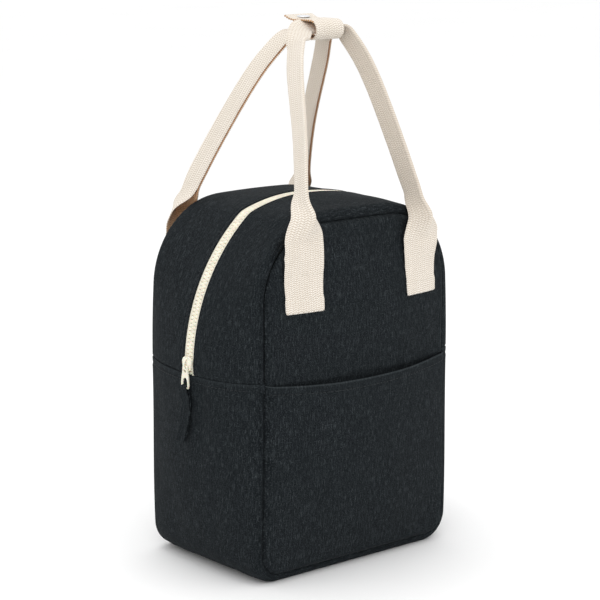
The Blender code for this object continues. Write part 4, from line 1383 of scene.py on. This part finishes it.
def build_handle(side):
    grid, length, columns = handle_grid(side)
    normal = unit(np.cross(np.gradient(grid, axis=0), np.gradient(grid, axis=1)))
    middle = len(columns) // 2
    if normal[3, middle, 1] * side < 0:
        normal *= -1
    edge = 1 - 0.25 * smoothstep((np.abs(columns) - 17.6 * MM) / (1.4 * MM))
    near_end = np.minimum(length, length[-1] - length)
    folded_under = 1 + 0.8 * (1 - smoothstep((near_end - TURNED_UNDER) / (1.5 * MM)))
    groove = -0.30 * MM * sum(bump(near_end, row, 0.8 * MM) for row in END_ROWS)
    half_t = 0.5 * WEB_THICK * edge[None, :] * np.ones((len(length), 1))
    outer = grid + normal * (half_t * (2 * folded_under[:, None] - 1))[..., None]
    inner = grid - normal * half_t[..., None]
    slub = 0.12 * MM * soft_noise(grid, 6 * MM, 20.0 + side)
    outer = outer + normal * (slub + groove[:, None])[..., None]
    inner = inner + normal * slub[..., None]
    label = "front" if side < 0 else "rear"
    # Painted shade: each handle's right leg is tinted darker from about 46 mm above its sewn end, through
    # the mesh attribute.
    right_leg = smoothstep((grid[..., 0] - 4 * MM) / (22 * MM))
    painted_shade = right_leg * smoothstep((near_end[:, None] - 46 * MM) / (30 * MM))
    # The inner face takes the webbing's tan painted-shade copy.
    band = slab(label + "_handle_webbing", outer, inner, pairs_grid(columns, length),
                [WEBBING, WEBBING_PAINTED_SHADE], painted_light=painted_shade)
    foot_y = leg_foot_y(side)
    start, end = (0.0, foot_y, PIVOT_Z - 3 * MM), (0.0, foot_y, PIVOT_Z + 7 * MM)
    if side < 0:
        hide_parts("front_handle", "front_handle_end_left", "front_handle_end_right")
        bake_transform(band)
    else:
        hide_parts("back_handle", "back_handle_end_left", "back_handle_end_right")
        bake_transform(band)
    return outer, normal, length, columns, (start, end)


# ---- wrap and press stud ----
def wrap_profile():
    """Middle line of the wrap's webbing in (y, z): lower tail, round the front, back along the top."""
    thick = 1.5 * MM
    low_z, high_z = WRAP_LOW[2] + thick / 2, WRAP_HIGH[2] - thick / 2
    radius = (high_z - low_z) / 2
    bend_y = WRAP_LOW[1] + thick / 2 + radius
    line = [(WRAP_HIGH[1], low_z + 0.9 * MM), (WRAP_HIGH[1] - 3 * MM, low_z + 0.2 * MM),
            (WRAP_HIGH[1] - 7 * MM, low_z)]
    line += [(bend_y - radius * math.cos(a), (low_z + high_z) / 2 + radius * math.sin(a))
             for a in np.linspace(-0.5 * math.pi, 0.5 * math.pi, 25)]
    reach = FLAP_HIGH[1] - FLAP_LOW[1]
    for share in np.linspace(0, 1, 16):
        lift = 3.0 * MM * float(smoothstep((share - 0.55) / 0.6))
        sag = 0.6 * MM * math.sin(math.pi * min(1.0, share / 0.6)) ** 2
        line.append((FLAP_LOW[1] + reach * share, high_z + lift - sag))
    return resample(line, 110), thick


def build_wrap():
    line, thick = wrap_profile()
    across = np.concatenate([[0, 0.5, 1.4], np.linspace(3, 26, 14), [27.6, 28.5, 29.0]]) * MM
    xs = WRAP_LOW[0] + across * (WRAP_HIGH[0] - WRAP_LOW[0]) / (29 * MM)
    grid = np.zeros((len(line), len(xs), 3))
    grid[..., 0] = xs[None, :]
    grid[..., 1] = line[:, None, 0]
    grid[..., 2] = line[:, None, 1]
    normal = unit(np.cross(np.gradient(grid, axis=0), np.gradient(grid, axis=1)))
    if normal[2, 5, 2] > 0:
        normal *= -1
    edge = 1 - 0.3 * smoothstep((np.abs(across - 14.5 * MM) - 13 * MM) / (1.5 * MM))
    half_t = thick / 2 * edge[None, :, None]
    slub = 0.10 * MM * soft_noise(grid, 6 * MM, 31.0)[..., None]
    outer = grid + normal * (half_t + slub)
    inner = grid - normal * (half_t - slub)
    uv = pairs_grid(across, arc_length(line))
    # The inner face takes the webbing's tan painted-shade copy.
    wrap = slab("wrap_webbing", outer, inner, uv, [WEBBING, WEBBING_PAINTED_SHADE])
    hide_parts("handle_wrap", "wrap_flap")
    middle_x = (WRAP_LOW[0] + WRAP_HIGH[0]) / 2
    hinge_y = FLAP_LOW[1]
    # A line aslant across the wrap at the flap's hinge; it is returned, and nothing here bends the wrap
    # about it.
    start = (middle_x, hinge_y + 0.2 * MM, WRAP_HIGH[2] - 1.2 * MM)
    end = (middle_x, start[1] + 1.92 * MM, start[2] + 2.30 * MM)
    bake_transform(wrap)
    edge_line = (outer[:, 0] + inner[:, 0]) / 2
    return edge_line[edge_line[:, 2] > WRAP_HIGH[2] - 2.2 * MM], (start, end)


def turned(profile, centre):
    """Points and faces of a body turned about +Z. profile is (radius, height) pairs."""
    x, y, z = centre
    return loft([np.array([(x + radius * math.cos(a), y + radius * math.sin(a), z + height)
                           for a in round_angles(40)]) for radius, height in profile])


def build_press_stud():
    """Each half as (share of its radius, height in mm) pairs, from the box of its CAD piece."""
    x, y = (CAP_LOW[0] + CAP_HIGH[0]) / 2, (CAP_LOW[1] + CAP_HIGH[1]) / 2
    socket_low, socket_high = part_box("snap_socket")
    stud_low, stud_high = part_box("snap_stud")
    deep = (socket_high[2] - socket_low[2]) / MM
    tall = (stud_high[2] - stud_low[2]) / MM
    cap = [(0.90, -0.25), (0.98, 0.0), (1.0, 0.25), (0.985, 0.55), (0.93, 0.85)]
    cap += [(0.93 * math.cos(a), 0.85 + 0.80 * math.sin(a)) for a in np.linspace(0.1, 1.5, 12)]
    socket = [(0.60, 0.0), (0.98, -0.05), (1.0, -0.4), (0.93, -0.75), (0.72, -0.85), (0.66, -deep),
              (0.56, -deep), (0.47, -deep + 0.25), (0.46, -0.45)]
    post = [(0.92, 0.0), (1.0, 0.12), (0.97, 0.35), (0.60, 0.48), (0.38, 0.60), (0.36, tall - 0.75),
            (0.45, tall - 0.5), (0.44, tall - 0.25), (0.30, tall)]
    for name, node, body, profile, z, width in (
            ("press_stud_cap", "snap_cap", "wrap_flap", cap, CAP_LOW[2], CAP_HIGH[0] - CAP_LOW[0]),
            ("press_stud_socket", "snap_socket", "wrap_flap", socket, socket_high[2],
             socket_high[0] - socket_low[0]),
            ("press_stud_post", "snap_stud", "front_handle", post, stud_low[2],
             stud_high[0] - stud_low[0])):
        radius = width / 2
        shape = turned([(share * radius, height * MM) for share, height in profile], (x, y, z))
        on_body(make_mesh(name, *shape, None, [NICKEL]), "snap_metal", body, node)


# ---- stitches ----
# Stitches are laid by rays that start outside the bag's side and front.
RAY_X = 140 * MM
RAY_Y = -120 * MM
RAY_BACK = 20 * MM
# One stitch: (share of its length, share of its radius, height in radii) of each section.
STITCH_SHAPE = ((0.0, 0.35, -0.9), (0.08, 0.75, -0.15), (0.28, 1.0, 0.45), (0.72, 1.0, 0.45),
                (0.92, 0.75, -0.15), (1.0, 0.35, -0.9))


def stitch_row(points, normals, length=2.7 * MM, gap=0.9 * MM, radius=0.30 * MM):
    """Separate stitches along a line that lies on a surface: each dips into the cloth at its ends."""
    points, normals = np.asarray(points, float), np.asarray(normals, float)
    along = arc_length(points)
    count = int((along[-1] + gap) / (length + gap))
    step = (along[-1] + gap) / max(count, 1)
    parts = []
    for start in np.arange(count) * step:
        direction = unit(along_line(start + step - gap, along, points) - along_line(start, along, points))
        sections = []
        for share, thick, high in STITCH_SHAPE:
            at = start + share * (step - gap)
            up = along_line(at, along, normals)
            up = unit(unit(up) - direction * np.dot(unit(up), direction))
            sideways = np.cross(direction, up)
            centre = along_line(at, along, points) + up * high * radius
            ring = [centre + radius * thick * (math.cos(a) * sideways * 1.1 + math.sin(a) * up)
                    for a in round_angles(7)]
            sections.append(np.array(ring))
        parts.append(loft(sections))
    return parts


def surface_tree(name):
    mesh = bpy.data.objects[name].data
    return BVHTree.FromPolygons([v.co[:] for v in mesh.vertices], [p.vertices[:] for p in mesh.polygons])


def lay(points, tree, away):
    """The points moved along -away onto the surface from outside, and the surface's normals there."""
    laid, normals = [], []
    for point, direction in zip(points, away):
        direction = Vector(direction).normalized()
        hit, normal = tree.ray_cast(Vector(point) + direction * RAY_BACK, -direction)[:2]
        if hit is None:
            continue
        if normal.dot(direction) < 0:
            normal = -normal
        laid.append(hit[:])
        normals.append(normal[:])
    return np.array(laid), np.array(normals)


def thread_piece(name, parts, material):
    return make_mesh(name, *join_lists(parts), None, [material])


def build_stitches(arch, handles, wrap_edge):
    seam_clear = 9 * MM
    xs = np.linspace(-(HALF_WIDTH - seam_clear), HALF_WIDTH - seam_clear, 120)
    line = [(x, RAY_Y, float(hem_height(x)) - HEM_STITCH) for x in xs]
    row = stitch_row(*lay(line, surface_tree("pocket"), [(0, -1, 0)] * len(line)))
    over_fold(thread_piece("stitches_pocket_hem", row, DARK_THREAD), "cloth")

    rows = []
    tree = surface_tree("lower_gusset")
    for sign in (-1, 1):
        ys = np.linspace(-(HALF_DEPTH - seam_clear), HALF_DEPTH - seam_clear, 90)
        line = [(sign * RAY_X, y, FOLD_Z - SIDE_STITCH) for y in ys]
        rows += stitch_row(*lay(line, tree, [(sign, 0, 0)] * len(line)))
    over_fold(thread_piece("stitches_side_seams", rows, DARK_THREAD), "cloth")

    inside = arch.inside[5:-5]
    away = np.stack([-inside[:, 0], np.zeros(len(inside)), -inside[:, 1]], axis=1)
    for side, label in HALVES:
        section = arch.section(STRIP_STITCH)[5:-5] * (1, side, 1)
        row = stitch_row(*lay(drifted(section), surface_tree("zip_strip_" + label), away))
        on_half(thread_piece("stitches_zip_" + label, row, DARK_THREAD), "cloth", side)

    for side, label, lower_body, upper_body in ((-1, "front", "front_flap", "front_handle"),
                                                (1, "rear", "bag", "back_handle")):
        outer, normal, length, columns, (start, end) = handles[side]
        rows = []
        for along in (length, length[-1] - length):
            for height in END_ROWS:
                rows += handle_cross_row(outer, normal, along, columns, height)
        piece = thread_piece("stitches_" + label + "_handle", rows, CREAM_THREAD)
        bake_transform(piece)

    edge_line, (start, end) = wrap_edge
    rows = stitch_row(edge_line, [(-1, 0, 0)] * len(edge_line), 1.5 * MM, 1.2 * MM, 0.75 * MM)
    piece = thread_piece("stitches_wrap_edge", rows, TAN_THREAD)
    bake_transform(piece)


def handle_cross_row(outer, normal, along, columns, height):
    """One row of stitches across a handle's sewn end at this distance from its end."""
    nearest = np.argsort(along)[:END_ROWS_WITHIN]
    inner = range(1, len(columns) - 1)
    points = [along_line(height, along[nearest], outer[nearest, column]) for column in inner]
    normals = [along_line(height, along[nearest], normal[nearest, column]) for column in inner]
    return stitch_row(points, normals, 2.5 * MM, 1.0 * MM, 0.36 * MM)


# ---- floor, light and camera ----
def build_stage():
    size = 6.0
    floor = make_mesh("floor", [(-size, -size, 0), (size, -size, 0), (size, size, 0), (-size, size, 0)],
                      [[0, 1, 2, 3]], None, [floor_material()])


def add_light(name, place, aim, size, watts):
    lamp = bpy.data.lights.new(name, "AREA")
    lamp.shape = "SQUARE"
    lamp.size = size
    lamp.energy = watts
    made = bpy.data.objects.new(name, lamp)
    made.location = place
    made.rotation_euler = (Vector(aim) - Vector(place)).to_track_quat("-Z", "Y").to_euler()
    bpy.context.scene.collection.objects.link(made)


def build_lights():
    world = bpy.data.worlds.new("studio")
    bpy.context.scene.world = world
    world.use_nodes = True
    background = world.node_tree.nodes["Background"]
    background.inputs["Color"].default_value = (1.0, 1.0, 1.0, 1.0)
    background.inputs["Strength"].default_value = 1.04
    aim = (0.0, 0.0, 0.20)
    add_light("key", (-1.2, -1.3, 1.5), aim, 1.0, 6.0)
    add_light("front", (0.6, -1.9, 0.8), aim, 1.2, 3.0)
    add_light("top", (-0.1, 0.2, 1.9), aim, 1.2, 7.0)


CAMERA_AZIMUTH = math.radians(-39.8)
CAMERA_RISE = math.radians(11.8)
CAMERA_DISTANCE = 1.70
CAMERA_LENS_MM = 122.3
CAMERA_AIM = (-0.7 * MM, 0.0, 210.4 * MM)


def build_camera():
    lens = bpy.data.cameras.new("camera")
    lens.lens = CAMERA_LENS_MM
    lens.sensor_width = 36.0
    camera = bpy.data.objects.new("camera", lens)
    back = Vector((math.sin(CAMERA_AZIMUTH) * math.cos(CAMERA_RISE),
                   -math.cos(CAMERA_AZIMUTH) * math.cos(CAMERA_RISE), math.sin(CAMERA_RISE)))
    camera.location = Vector(CAMERA_AIM) + back * CAMERA_DISTANCE
    camera.rotation_euler = (-back).to_track_quat("-Z", "Y").to_euler()
    bpy.context.scene.collection.objects.link(camera)
    bpy.context.scene.camera = camera


# ---- build it all ----
bpy.context.scene.view_settings.view_transform = "Standard"
build_panels()
build_pocket()
arch_run = build_gussets()
build_bindings()
build_tapes(arch_run)
build_teeth()
build_stops()
build_slider()
build_bridge()
build_tab()
build_tie()
handle_surfaces = {side: build_handle(side) for side in (-1, 1)}
wrap_edge_line = build_wrap()
build_press_stud()
build_stitches(arch_run, handle_surfaces, wrap_edge_line)
build_stage()
build_lights()
build_camera()
